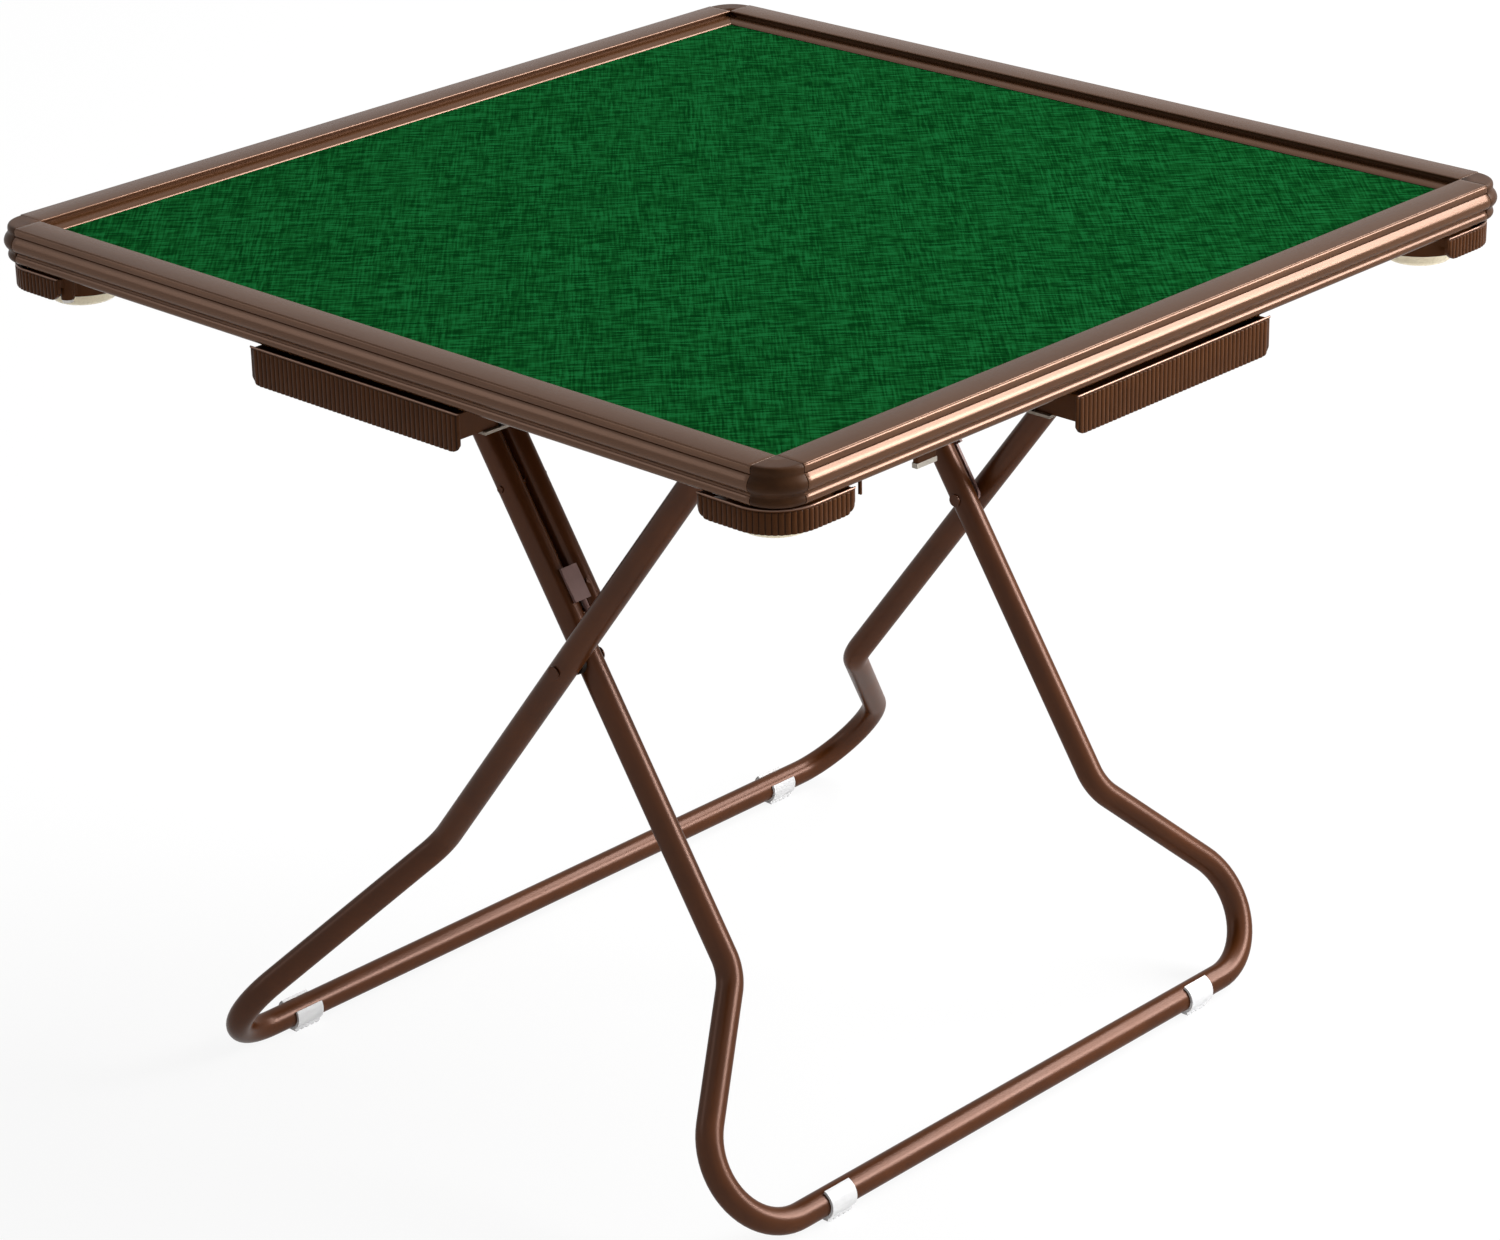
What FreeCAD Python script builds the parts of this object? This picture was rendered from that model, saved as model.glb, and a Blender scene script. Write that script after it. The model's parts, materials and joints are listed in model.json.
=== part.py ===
import FreeCAD, Part
import math
import os
import Sketcher

# Folding game table: a square cloth-covered top in a metal rail frame, four drawers, four swing-out
# corner trays and a pair of crossed tube frames that fold flat under the top.
# Frame: +Z up, origin on the floor under the middle of the top, lengths in millimetres.
# The front drawer is on the -Y side, the right drawer on the +X side.

doc = FreeCAD.newDocument("game_table")

SIZES = {
    # whole table
    "table_side": 860.0,
    "table_height": 717.0,
    "overrun": 5.0,
    "running_gap": 0.05,
    "loose_gap": 0.3,
    # edge rail section, measured outward from the inner top edge and down from the top
    "rail_width": 30.0,
    "rail_height": 30.0,
    "rail_edge_radius": 0.8,
    "lip_setback": 0.6,
    "lip_radius": 3.0,
    "lip_height": 5.4,
    "bead_radius": 7.5,
    "bead_drop": 14.6,
    "bead_half_height": 6.8,
    "toe_setback": 2.3,
    "toe_radius": 4.1,
    "toe_half_height": 3.4,
    "heel_reach": 13.0,
    "keeper_reach": 10.0,
    "keeper_thickness": 1.6,
    "seat_depth": 11.5,
    "apron_reach": 12.5,
    "apron_drop": 4.8,
    "apron_tip_drop": 7.0,
    "apron_tip_thickness": 1.2,
    "shadow_depth": 2.2,
    "shadow_top": 2.0,
    "shadow_height": 2.4,
    # board and cloth
    "board_thickness": 12.8,
    "board_edge_gap": 0.5,
    "cloth_thickness": 1.0,
    "cloth_tuck": 2.0,
    # drawers
    "drawer_width": 224.0,
    "drawer_depth": 155.0,
    "drawer_height": 19.5,
    "drawer_wall": 2.5,
    "drawer_top_gap": 3.0,
    "drawer_corner_radius": 6.0,
    "face_overhang": 2.0,
    "face_height": 31.0,
    "face_top_gap": 1.5,
    "face_thickness": 3.0,
    "face_corner_radius": 9.0,
    "face_rim": 1.8,
    "reed_margin": 3.0,
    "reed_bulge": 0.8,
    # drawer runners and the pale strips that the drawers slide on
    "runner_thickness": 2.6,
    "runner_gap": 0.4,
    "runner_front_setback": 42.0,
    "runner_tab": 8.0,
    "glide_width": 17.0,
    "glide_thickness": 2.2,
    "glide_front_setback": 26.0,
    # corner trays
    "tray_reach": 81.0,
    "tray_face_setback": 3.0,
    "tray_corner_radius": 38.0,
    "tray_height": 19.0,
    "tray_top_gap": 1.5,
    "tray_wall": 4.0,
    "tray_end_radius": 8.0,
    "tray_floor": 3.0,
    "tray_reed_pitch": 4.7,
    "dish_inset": 52.0,
    "ring_gap": 1.5,
    "ring_wall": 3.0,
    "dish_rim_radius": 37.0,
    "dish_foot_radius": 28.5,
    "dish_foot_round": 6.0,
    "dish_wall": 2.0,
    "dish_rim_height": 3.0,
    "dish_height": 31.0,
    "dish_rim_sink": 1.5,
    "tray_boss_radius": 5.5,
    "tray_pin_radius": 2.5,
    "tray_pin_head_radius": 4.5,
    "tray_pin_head_height": 2.4,
    "tray_pin_inset": 15.0,
    "tray_pin_end_inset": 3.0,
    "tray_tab_gap": 12.0,
    "tray_tab_inset": 10.0,
    "tray_tab_width": 2.5,
    "tray_tab_thickness": 1.5,
    "tray_tab_height": 13.0,
    # crossed leg frames, both bent from round tube
    "tube_radius": 11.0,
    "tube_wall": 1.5,
    "foot_thickness": 3.3,
    "cross_x": 30.2,
    "cross_height": 402.4,
    "inner_bar_x": 283.4,
    "outer_bar_x": -264.5,
    "inner_leg_y": 225.6,
    "frame_gap": 5.2,
    "inner_flare": 163.8,
    "outer_flare": 203.0,
    "inner_shoulder": 191.8,
    "outer_shoulder": 235.0,
    "corner_bend_radius": 58.0,
    "shoulder_bend_radius": 42.0,
    "pivot_drop": 60.0,
    "leg_end_length": 14.0,
    "bolt_radius": 4.0,
    "bolt_head_radius": 5.5,
    "bolt_head_height": 1.0,
    "spacer_radius": 9.0,
    "plug_flange": 2.0,
    # strut beside the front inner leg, its rivets, and the lock between the two tubes
    "strut_gap": 2.8,
    "strut_foot": 22.5,
    "strut_rivet_inset": 12.0,
    "rivet_along": 149.0,
    "rivet_radius": 2.0,
    "rivet_head_radius": 3.0,
    "rivet_head_height": 1.2,
    "lock_along": 43.5,
    "lock_length": 29.0,
    "lock_width": 17.0,
    "lock_shift": 4.0,
    "lock_screw_radius": 2.0,
    "lock_screw_along": 12.5,
    "lock_screw_shift": 2.7,
    "lock_thickness": 2.5,
    "lock_rim": 6.0,
    "lock_rod_radius": 2.4,
    "lock_rod_length": 28.0,
    "lock_rod_lift": 8.6,
    "plate_length": 46.0,
    "plate_width": 14.0,
    "plate_thickness": 2.5,
    "plate_flange": 6.0,
    # foot clips on the floor bars
    "clip_length": 28.0,
    "clip_thickness": 2.4,
    "clip_base_width": 15.0,
    "clip_rib_width": 3.0,
    "clip_rib_depth": 1.0,
    "inner_clip_y": 226.0,
    "outer_clip_y": 297.0,
    # steel fittings under the board
    "bracket_thickness": 3.0,
    "bracket_base_length": 52.0,
    "bracket_base_width": 58.0,
    "bracket_cheek_width": 24.0,
    "bracket_side_gap": 1.2,
    "guide_side_gap": 11.8,
    "guide_thickness": 3.0,
    "guide_flange": 22.0,
    "guide_pin_radius": 6.0,
    "guide_head_radius": 11.0,
    "guide_head_height": 2.0,
    "guide_slot_gap": 3.4,
    "guide_margin": 7.0,
    "guide_end_margin": 4.0,
    "rest_setback": 78.5,
    "rest_y": 192.0,
    "rest_length": 5.0,
    "rest_width": 22.0,
    "rest_drop": 76.5,
    "rest_taper": 1.2,
    "pad_thickness": 4.0,
    "screw_radius": 3.6,
    "screw_head_height": 1.8,
}

sheet = doc.addObject("Spreadsheet::Sheet", "sizes")
for row, (name, value) in enumerate(SIZES.items(), 1):
    sheet.set("A%d" % row, name)
    sheet.set("B%d" % row, str(value))
    sheet.setAlias("B%d" % row, name)
doc.recompute()


class Size:
    """A length that knows both its value and the sheet expression that gives it."""

    def __init__(self, value, text):
        self.value = value
        self.text = text

    @staticmethod
    def of(item):
        if isinstance(item, Size):
            return item
        return Size(float(item), repr(float(item)))

    def __add__(self, other):
        other = Size.of(other)
        return Size(self.value + other.value, "(%s + %s)" % (self.text, other.text))

    def __sub__(self, other):
        other = Size.of(other)
        return Size(self.value - other.value, "(%s - %s)" % (self.text, other.text))

    def __mul__(self, other):
        other = Size.of(other)
        return Size(self.value * other.value, "(%s * %s)" % (self.text, other.text))

    def __truediv__(self, other):
        other = Size.of(other)
        return Size(self.value / other.value, "(%s / %s)" % (self.text, other.text))

    def __neg__(self):
        return Size(-self.value, "(-%s)" % self.text)

    def root(self):
        return Size(math.sqrt(self.value), "sqrt(%s)" % self.text)


class Sheet:
    """Sizes by name, read from the spreadsheet."""

    def __getattr__(self, name):
        return Size(float(sheet.get(name)), "sizes." + name)


s = Sheet()
ZERO = Size.of(0)
UP = FreeCAD.Vector(0, 0, 1)
ALONG_X = FreeCAD.Vector(1, 0, 0)
ALONG_Y = FreeCAD.Vector(0, 1, 0)
QUARTER = 90.0
REED_COUNT = 46
CLIP_RIB_COUNT = 5
CLIP_SWEEP_DEGREES = 265.0
INNER_CLIP_DEGREES = -72.0
OUTER_CLIP_DEGREES = -30.0
MIDDLE_SHARE = 0.5
GUIDE_SCREW_SHARES = (0.05, 0.45, 0.85)
SIDES = ("front", "right", "back", "left")
CORNERS = ("front_right", "back_right", "back_left", "front_left")
pieces = []


def keep(piece, label):
    piece.Label = label
    pieces.append(piece)
    return piece


def bind(piece, **sizes):
    for prop, size in sizes.items():
        setattr(piece, prop, size.value)
        if size.text != repr(size.value):
            piece.setExpression(prop, size.text)
    return piece


def vector(x, y, z):
    return FreeCAD.Vector(Size.of(x).value, Size.of(y).value, Size.of(z).value)


def box(length, width, height, x, y, z):
    piece = bind(doc.addObject("Part::Box", "box"), Length=length, Width=width, Height=height)
    piece.Placement = FreeCAD.Placement(vector(x, y, z), FreeCAD.Rotation())
    return piece


def rod(radius, length, x, y, z, axis=UP):
    piece = bind(doc.addObject("Part::Cylinder", "rod"), Radius=radius, Height=length)
    piece.Placement = FreeCAD.Placement(vector(x, y, z), FreeCAD.Rotation(UP, axis))
    return piece


def cut(base, *tools):
    for tool in tools:
        piece = doc.addObject("Part::Cut", "cut")
        piece.Base = base
        piece.Tool = tool
        base = piece
    return base


def fuse(*parts):
    piece = doc.addObject("Part::MultiFuse", "fuse")
    piece.Shapes = list(parts)
    return piece


def group(*parts):
    piece = doc.addObject("Part::Compound", "group")
    piece.Links = list(parts)
    return piece


def solid(shape):
    piece = doc.addObject("Part::Feature", "solid")
    piece.Shape = shape
    return piece


def turned(piece, quarters):
    turn = FreeCAD.Placement(FreeCAD.Vector(), FreeCAD.Rotation(UP, QUARTER * quarters))
    piece.Placement = turn * piece.Placement
    return piece


def tilted(piece, degrees, x, z):
    """Lean a piece about the Y axis, then carry its origin to (x, z)."""
    lean = FreeCAD.Placement(vector(x, ZERO, z), FreeCAD.Rotation(ALONG_Y, degrees))
    piece.Placement = lean * piece.Placement
    return piece


def outline(sketch, points):
    """Closed outline of lines and arcs: each point is (x, y), or (x, y, radius, bulge side) for an arc
    that arrives there; every point is tied to the sheet."""
    count = len(points)
    lines = []
    for index in range(count):
        start = points[index]
        end = points[(index + 1) % count]
        a = FreeCAD.Vector(start[0].value, start[1].value, 0)
        b = FreeCAD.Vector(end[0].value, end[1].value, 0)
        if len(end) == 2:
            lines.append(sketch.addGeometry(Part.LineSegment(a, b)))
            continue
        radius = end[2].value
        half = (b - a).Length / 2
        across = FreeCAD.Vector(-(b - a).y, (b - a).x, 0).normalize() * end[3]
        rise = radius - math.sqrt(max(radius * radius - half * half, 0))
        crown = (a + b) / 2 + across * rise
        first, last = (a, b) if (b - a).cross(crown - a).z < 0 else (b, a)
        lines.append(sketch.addGeometry(Part.ArcOfCircle(first, crown, last)))
    ends = []
    for index in range(count):
        a = FreeCAD.Vector(points[index][0].value, points[index][1].value, 0)
        curve = sketch.Geometry[lines[index]]
        ends.append((1, 2) if (curve.StartPoint - a).Length < (curve.EndPoint - a).Length else (2, 1))
    for index in range(count):
        point = points[index]
        geo, pos = lines[index], ends[index][0]
        before = index - 1 if index else count - 1
        sketch.addConstraint(Sketcher.Constraint("Coincident", lines[before], ends[before][1], geo, pos))
        for kind, axis, size in (("DistanceX", -2, point[0]), ("DistanceY", -1, point[1])):
            if abs(size.value) < 1e-9:
                sketch.addConstraint(Sketcher.Constraint("PointOnObject", geo, pos, axis))
                continue
            place = sketch.addConstraint(Sketcher.Constraint(kind, -1, 1, geo, pos, size.value))
            sketch.setExpression("Constraints[%d]" % place, size.text)
        if len(point) > 2:
            place = sketch.addConstraint(Sketcher.Constraint("Radius", lines[before], point[2].value))
            sketch.setExpression("Constraints[%d]" % place, point[2].text)


def sketch_on(body, role, points):
    plane = [item for item in body.Origin.OriginFeatures if item.Role == role][0]
    sketch = body.newObject("Sketcher::SketchObject", "outline")
    sketch.AttachmentSupport = [(plane, "")]
    sketch.MapMode = "FlatFace"
    outline(sketch, points)
    return sketch


# Shared places

half_inner = s.table_side / 2 - s.rail_width
half_side = s.table_side / 2
cloth_drop = s.apron_tip_drop + s.apron_tip_thickness
board_drop = cloth_drop + s.cloth_thickness
board_under = s.table_height - board_drop - s.board_thickness
bar_height = s.tube_radius + s.foot_thickness
pivot_height = s.table_height - s.pivot_drop
face_width = s.drawer_width + s.face_overhang * 2
face_top_drop = s.rail_height + s.face_top_gap
drawer_top_drop = s.rail_height + s.drawer_top_gap
tray_top_drop = s.rail_height + s.tray_top_gap
dish_rim_drop = tray_top_drop + s.dish_rim_sink
dish_foot_drop = dish_rim_drop + s.dish_height
ring_radius = s.dish_rim_radius + s.ring_gap + s.ring_wall
tray_pin_along = s.tray_reach - s.tray_pin_end_inset
strut_spacing = s.tube_radius * 2 + s.strut_gap
outer_leg_y = s.inner_leg_y + s.tube_radius * 2 + s.frame_gap
guide_y = s.inner_leg_y - strut_spacing - s.tube_radius - s.guide_side_gap


def rail_outside():
    """Visible outer side of the rail section, from the top face down to the toe: (reach, height)."""
    bead_reach = s.rail_width - s.bead_radius + (s.bead_radius * s.bead_radius
                                                 - s.bead_half_height * s.bead_half_height).root()
    toe_middle = s.rail_width - s.toe_setback - s.toe_radius
    toe_height = s.toe_radius - s.rail_height
    toe_reach = toe_middle + (s.toe_radius * s.toe_radius - s.toe_half_height * s.toe_half_height).root()
    lip_reach = s.rail_width - s.lip_setback
    return [
        (lip_reach - s.lip_radius, ZERO),
        (lip_reach, -s.lip_radius, s.lip_radius, 1),
        (lip_reach, -s.lip_height),
        (bead_reach, s.bead_half_height - s.bead_drop),
        (bead_reach, -s.bead_half_height - s.bead_drop, s.bead_radius, 1),
        (toe_reach, toe_height + s.toe_half_height),
        (toe_middle, -s.rail_height, s.toe_radius, 1),
    ]


def rail_inside():
    """Hidden foot, board channel, cloth apron and shadow groove, back up to the top edge."""
    keeper_top = -board_drop - s.board_thickness
    keeper_foot = keeper_top - s.keeper_thickness
    shadow_foot = -s.shadow_top - s.shadow_height
    return [
        (s.heel_reach, -s.rail_height),
        (s.heel_reach, keeper_foot),
        (-s.keeper_reach, keeper_foot),
        (-s.keeper_reach, keeper_top),
        (s.seat_depth, keeper_top),
        (s.seat_depth, -cloth_drop),
        (-s.apron_reach, -cloth_drop),
        (-s.apron_reach, -s.apron_tip_drop),
        (ZERO, -s.apron_drop),
        (s.shadow_depth, shadow_foot),
        (s.shadow_depth, -s.shadow_top),
        (ZERO, -s.shadow_top + s.rail_edge_radius / 2),
        (ZERO, -s.rail_edge_radius),
        (s.rail_edge_radius, ZERO, s.rail_edge_radius, 1),
    ]


def mirrored(points):
    """The same outline with outward taken as the minus direction."""
    return [(-point[0], point[1]) + ((point[2], -point[3]) if len(point) > 2 else ()) for point in points]


def rail(side):
    """One extruded edge rail: outer beads, a channel that grips the board, mitred inner apron."""
    body = doc.addObject("PartDesign::Body", "rail")
    points = [(point[0] - half_inner, s.table_height + point[1]) + point[2:]
              for point in mirrored(rail_outside() + rail_inside())]
    section = sketch_on(body, "YZ_Plane", points)
    pad = body.newObject("PartDesign::Pad", "pad")
    pad.Profile = section
    bind(pad, Length=half_inner * 2)
    pad.SideType = "Symmetric"
    doc.recompute()
    whole = pad.Shape.Volume
    for hand in (1, -1):
        mitre = body.newObject("PartDesign::Pocket", "mitre")
        tip = half_inner + s.overrun
        base = half_inner - s.apron_reach - s.overrun
        mitre.Profile = sketch_on(body, "XY_Plane", [
            (half_inner * hand, -half_inner),
            (tip * hand, -half_inner),
            (tip * hand, -base),
            (base * hand, -base),
        ])
        mitre.SideType = "Symmetric"
        mitre.Type = "ThroughAll"
    body.Tip = mitre
    doc.recompute()
    if not body.Shape.Volume < whole:
        raise RuntimeError("the mitre cuts nothing")
    turned(body, SIDES.index(side))
    return keep(body, "rail_" + side)


def corner_cap(corner):
    """Moulded corner: the rail's outer section turned a quarter round the inner corner of the frame."""
    body = doc.addObject("PartDesign::Body", "cap")
    pocket_reach = s.seat_depth * math.sqrt(2) + s.board_edge_gap
    pocket_top = -cloth_drop + s.board_edge_gap
    pocket_foot = -board_drop - s.board_thickness - s.board_edge_gap
    points = [(ZERO, ZERO)] + mirrored(rail_outside()) + [
        (ZERO, -s.rail_height),
        (ZERO, pocket_foot),
        (-pocket_reach, pocket_foot),
        (-pocket_reach, pocket_top),
        (ZERO, pocket_top),
    ]
    section = sketch_on(body, "XZ_Plane", points)
    spin = body.newObject("PartDesign::Revolution", "spin")
    spin.Profile = section
    spin.ReferenceAxis = (section, ["V_Axis"])
    spin.Angle = QUARTER
    body.Tip = spin
    place = vector(half_inner, -half_inner, s.table_height)
    body.Placement = FreeCAD.Placement(place, FreeCAD.Rotation(UP, QUARTER))
    turned(body, CORNERS.index(corner))
    return keep(body, "corner_cap_" + corner)


def top():
    """Board held in the rail channels, with the playing cloth bonded on it under the aprons."""
    half = half_inner + s.seat_depth - s.board_edge_gap
    keep(box(half * 2, half * 2, s.board_thickness, -half, -half, board_under), "top_board")
    half = half_inner + s.cloth_tuck
    height = s.table_height - board_drop
    keep(box(half * 2, half * 2, s.cloth_thickness, -half, -half, height), "playing_cloth")


def reeded_edge(points, bulge):
    """Edges of a reeded face: an outward bulge between each two neighbouring points."""
    edges = []
    for a, b in zip(points, points[1:]):
        out = FreeCAD.Vector((b - a).y, -(b - a).x, 0).normalize() * bulge
        edges.append(Part.Arc(a, (a + b) / 2 + out, b).toShape())
    return edges


def polyline(points):
    return [Part.LineSegment(a, b).toShape() for a, b in zip(points, points[1:])]


def drawer_face(side):
    """Reeded drawer front with rounded lower corners; its lower edge hangs below the box as a grip."""
    half = face_width.value / 2
    front = -half_side.value + s.reed_bulge.value
    back = -half_side.value + s.face_thickness.value
    top_height = s.table_height.value - face_top_drop.value
    foot = top_height - s.face_height.value
    first = half - s.reed_margin.value
    marks = [FreeCAD.Vector(-first + 2 * first * step / REED_COUNT, front, foot)
             for step in range(REED_COUNT + 1)]
    frame = [FreeCAD.Vector(first, front, foot), FreeCAD.Vector(half, front, foot),
             FreeCAD.Vector(half, back, foot), FreeCAD.Vector(-half, back, foot),
             FreeCAD.Vector(-half, front, foot), FreeCAD.Vector(-first, front, foot)]
    section = Part.Face(Part.Wire(reeded_edge(marks, s.reed_bulge.value) + polyline(frame)))
    reeded = solid(section.extrude(FreeCAD.Vector(0, 0, s.face_height.value)))
    rim = box(face_width, s.face_thickness, s.face_rim, -face_width / 2, -half_side,
              s.table_height - face_top_drop - s.face_rim)
    body = fuse(reeded, rim)
    corner = s.face_corner_radius
    for hand in (1, -1):
        low = s.table_height - face_top_drop - s.face_height
        start = face_width / 2 - corner if hand > 0 else -face_width / 2 - s.overrun
        block = box(corner + s.overrun, s.face_thickness + s.overrun * 2, corner + s.overrun,
                    start, -half_side - s.overrun, low - s.overrun)
        round_bar = rod(corner, s.face_thickness + s.overrun * 2, (face_width / 2 - corner) * hand,
                        -half_side - s.overrun, low + corner, ALONG_Y)
        body = cut(body, cut(block, round_bar))
    turned(body, SIDES.index(side))
    return keep(body, "drawer_face_" + side)


def drawer_box(side):
    """Open-topped drawer box with rounded rear corners; the drawer front closes its fourth side."""
    front = -half_side + s.face_thickness
    foot = s.table_height - drawer_top_drop - s.drawer_height
    shell = box(s.drawer_width, s.drawer_depth, s.drawer_height, -s.drawer_width / 2, front, foot)
    rounded = doc.addObject("Part::Fillet", "rounded")
    rounded.Base = shell
    doc.recompute()
    rear = front.value + s.drawer_depth.value
    picks = []
    for index, edge in enumerate(shell.Shape.Edges, 1):
        middle = edge.CenterOfMass
        upright = abs(edge.tangentAt(edge.FirstParameter).z) > 0.9
        if upright and abs(middle.y - rear) < s.running_gap.value:
            picks.append((index, s.drawer_corner_radius.value, s.drawer_corner_radius.value))
    rounded.Edges = picks
    hollow = box(s.drawer_width - s.drawer_wall * 2, s.drawer_depth - s.drawer_wall + s.overrun,
                 s.drawer_height, -s.drawer_width / 2 + s.drawer_wall, front - s.overrun,
                 foot + s.drawer_wall)
    body = turned(cut(rounded, hollow), SIDES.index(side))
    return keep(body, "drawer_box_" + side)


def drawer_runners(side):
    """Upright runners beside a drawer, each with a tab behind the box that stops it."""
    front = -half_side + s.runner_front_setback
    rear = -half_side + s.face_thickness + s.drawer_depth + s.loose_gap
    foot = s.table_height - drawer_top_drop - s.drawer_height - s.loose_gap
    inner = s.drawer_width / 2 + s.runner_gap
    reach = s.runner_tab + s.runner_thickness
    runners = []
    for wall_x, tab_x in ((inner, inner - s.runner_tab), (-inner - s.runner_thickness,) * 2):
        height = board_under - foot
        wall = box(s.runner_thickness, rear - front + s.runner_thickness, height, wall_x, front, foot)
        tab = box(reach, s.runner_thickness, height, tab_x, rear, foot)
        runners.append(turned(fuse(wall, tab), SIDES.index(side)))
    return keep(group(*runners), "drawer_runners_" + side)


def drawer_glides():
    """Pale strips under the runners that carry the drawers."""
    strips = []
    front = -half_side + s.glide_front_setback
    rear = -half_side + s.face_thickness + s.drawer_depth + s.loose_gap + s.runner_thickness
    height = s.table_height - drawer_top_drop - s.drawer_height - s.loose_gap - s.glide_thickness
    outer = s.drawer_width / 2 + s.runner_gap + s.runner_thickness
    for quarters in range(len(SIDES)):
        for start in (outer - s.glide_width, -outer):
            strip = box(s.glide_width, rear - front, s.glide_thickness, start, front, height)
            strips.append(turned(strip, quarters))
    return keep(group(*strips), "drawer_glides")


def tray_wall_section():
    """Plan of the tray's reeded outer wall at the front right corner."""
    face = half_side.value - s.tray_face_setback.value
    start = half_side.value - s.tray_reach.value
    radius = s.tray_corner_radius.value
    middle = face - radius
    inner = radius - s.tray_wall.value
    straight = middle - start
    arc_length = radius * math.pi / 2
    base = face - s.reed_bulge.value
    count = int(round((2 * straight + arc_length) / s.tray_reed_pitch.value))
    marks = []
    for step in range(count + 1):
        along = (2 * straight + arc_length) * step / count
        if along < straight:
            marks.append(FreeCAD.Vector(start + along, -base, 0))
        elif along > straight + arc_length:
            marks.append(FreeCAD.Vector(base, -middle + along - straight - arc_length, 0))
        else:
            angle = (along - straight) / radius
            marks.append(FreeCAD.Vector(middle + (base - middle) * math.sin(angle),
                                        -middle - (base - middle) * math.cos(angle), 0))
    back = face - s.tray_wall.value
    turn = math.pi / 4
    bend = Part.Arc(FreeCAD.Vector(back, -middle, 0),
                    FreeCAD.Vector(middle + inner * math.sin(turn), -middle - inner * math.cos(turn), 0),
                    FreeCAD.Vector(middle, -back, 0)).toShape()
    right = polyline([marks[-1], FreeCAD.Vector(back, -start, 0), FreeCAD.Vector(back, -middle, 0)])
    front = polyline([FreeCAD.Vector(middle, -back, 0), FreeCAD.Vector(start, -back, 0), marks[0]])
    return Part.Face(Part.Wire(reeded_edge(marks, s.reed_bulge.value) + right + [bend] + front))


def tray_holder(corner):
    """Corner tray: reeded L wall, a floor with a round seat for the dish, and a pivot boss."""
    foot = s.table_height - tray_top_drop - s.tray_height
    lift = FreeCAD.Vector(0, 0, s.tray_height.value)
    wall = solid(tray_wall_section().extrude(lift))
    wall.Placement = FreeCAD.Placement(FreeCAD.Vector(0, 0, foot.value), FreeCAD.Rotation())
    start = half_side - s.tray_reach
    face = half_side - s.tray_face_setback
    radius = s.tray_end_radius
    block = box(radius + s.overrun, s.tray_wall + s.overrun * 2, radius + s.overrun,
                start - s.overrun, -face - s.overrun, foot - s.overrun)
    bar = rod(radius, s.tray_wall + s.overrun * 2, start + radius, -face - s.overrun,
              foot + radius, ALONG_Y)
    wall = cut(wall, cut(block, bar))
    block = box(s.tray_wall + s.overrun * 2, radius + s.overrun, radius + s.overrun,
                face - s.tray_wall - s.overrun, -start - radius, foot - s.overrun)
    bar = rod(radius, s.tray_wall + s.overrun * 2, face - s.tray_wall - s.overrun, -start - radius,
              foot + radius, ALONG_X)
    wall = cut(wall, cut(block, bar))
    dish = half_side - s.dish_inset
    side = half_side - s.tray_face_setback - s.tray_wall / 2 - dish
    ring = rod(ring_radius, s.tray_height, dish, -dish, foot)
    corner_room = s.tray_corner_radius - s.tray_wall
    inner_side = side - corner_room / 2
    web = box(inner_side, inner_side, s.tray_floor, dish, -dish - inner_side, foot)
    web_x = box(side, side - corner_room, s.tray_floor, dish, corner_room - dish - side, foot)
    web_y = box(side - corner_room, side, s.tray_floor, dish, -dish - side, foot)
    pin_x = half_side - s.tray_pin_inset
    pin_y = -half_side + tray_pin_along
    boss = rod(s.tray_boss_radius, s.tray_height, pin_x, pin_y, foot)
    inside = rod(ring_radius - s.ring_wall, s.tray_height, dish, -dish, foot + s.tray_floor)
    seat = rod(dish_radius_at(tray_top_drop + s.tray_height - s.tray_floor) + s.loose_gap,
               s.tray_height, dish, -dish, foot - s.overrun)
    hole = rod(s.tray_pin_radius + s.running_gap, s.tray_height + s.overrun * 2, pin_x, pin_y,
               foot - s.overrun)
    body = cut(fuse(wall, ring, web, web_x, web_y, boss), inside, seat, hole)
    turned(body, CORNERS.index(corner))
    return keep(body, "tray_holder_" + corner)


def dish_radius_at(drop):
    """Outer radius of the tapered dish at a depth below the table top."""
    share = (drop - dish_rim_drop) / (dish_foot_drop - dish_rim_drop)
    return s.dish_rim_radius - s.dish_wall - (s.dish_rim_radius - s.dish_wall - s.dish_foot_radius) * share


def dish(corner):
    """Tapered round dish with a turned-out rim and a rounded foot."""
    body = doc.addObject("PartDesign::Body", "dish")
    height = dish_foot_drop - dish_rim_drop
    top_radius = s.dish_rim_radius - s.dish_wall
    foot_round = s.dish_foot_round
    section = sketch_on(body, "XZ_Plane", [
        (ZERO, ZERO),
        (s.dish_foot_radius - foot_round, ZERO),
        (s.dish_foot_radius, foot_round, foot_round, -1),
        (top_radius, height - s.dish_rim_height),
        (s.dish_rim_radius, height - s.dish_rim_height),
        (s.dish_rim_radius, height),
        (top_radius - s.dish_wall, height),
        (s.dish_foot_radius - s.dish_wall, foot_round),
        (s.dish_foot_radius - foot_round, s.dish_wall, foot_round - s.dish_wall, 1),
        (ZERO, s.dish_wall),
    ])
    spin = body.newObject("PartDesign::Revolution", "spin")
    spin.Profile = section
    spin.ReferenceAxis = (section, ["V_Axis"])
    spin.Angle = QUARTER * 4
    body.Tip = spin
    middle = half_side - s.dish_inset
    body.Placement = FreeCAD.Placement(vector(middle, -middle, s.table_height - dish_foot_drop),
                                       FreeCAD.Rotation())
    turned(body, CORNERS.index(corner))
    return keep(body, "dish_" + corner)


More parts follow.
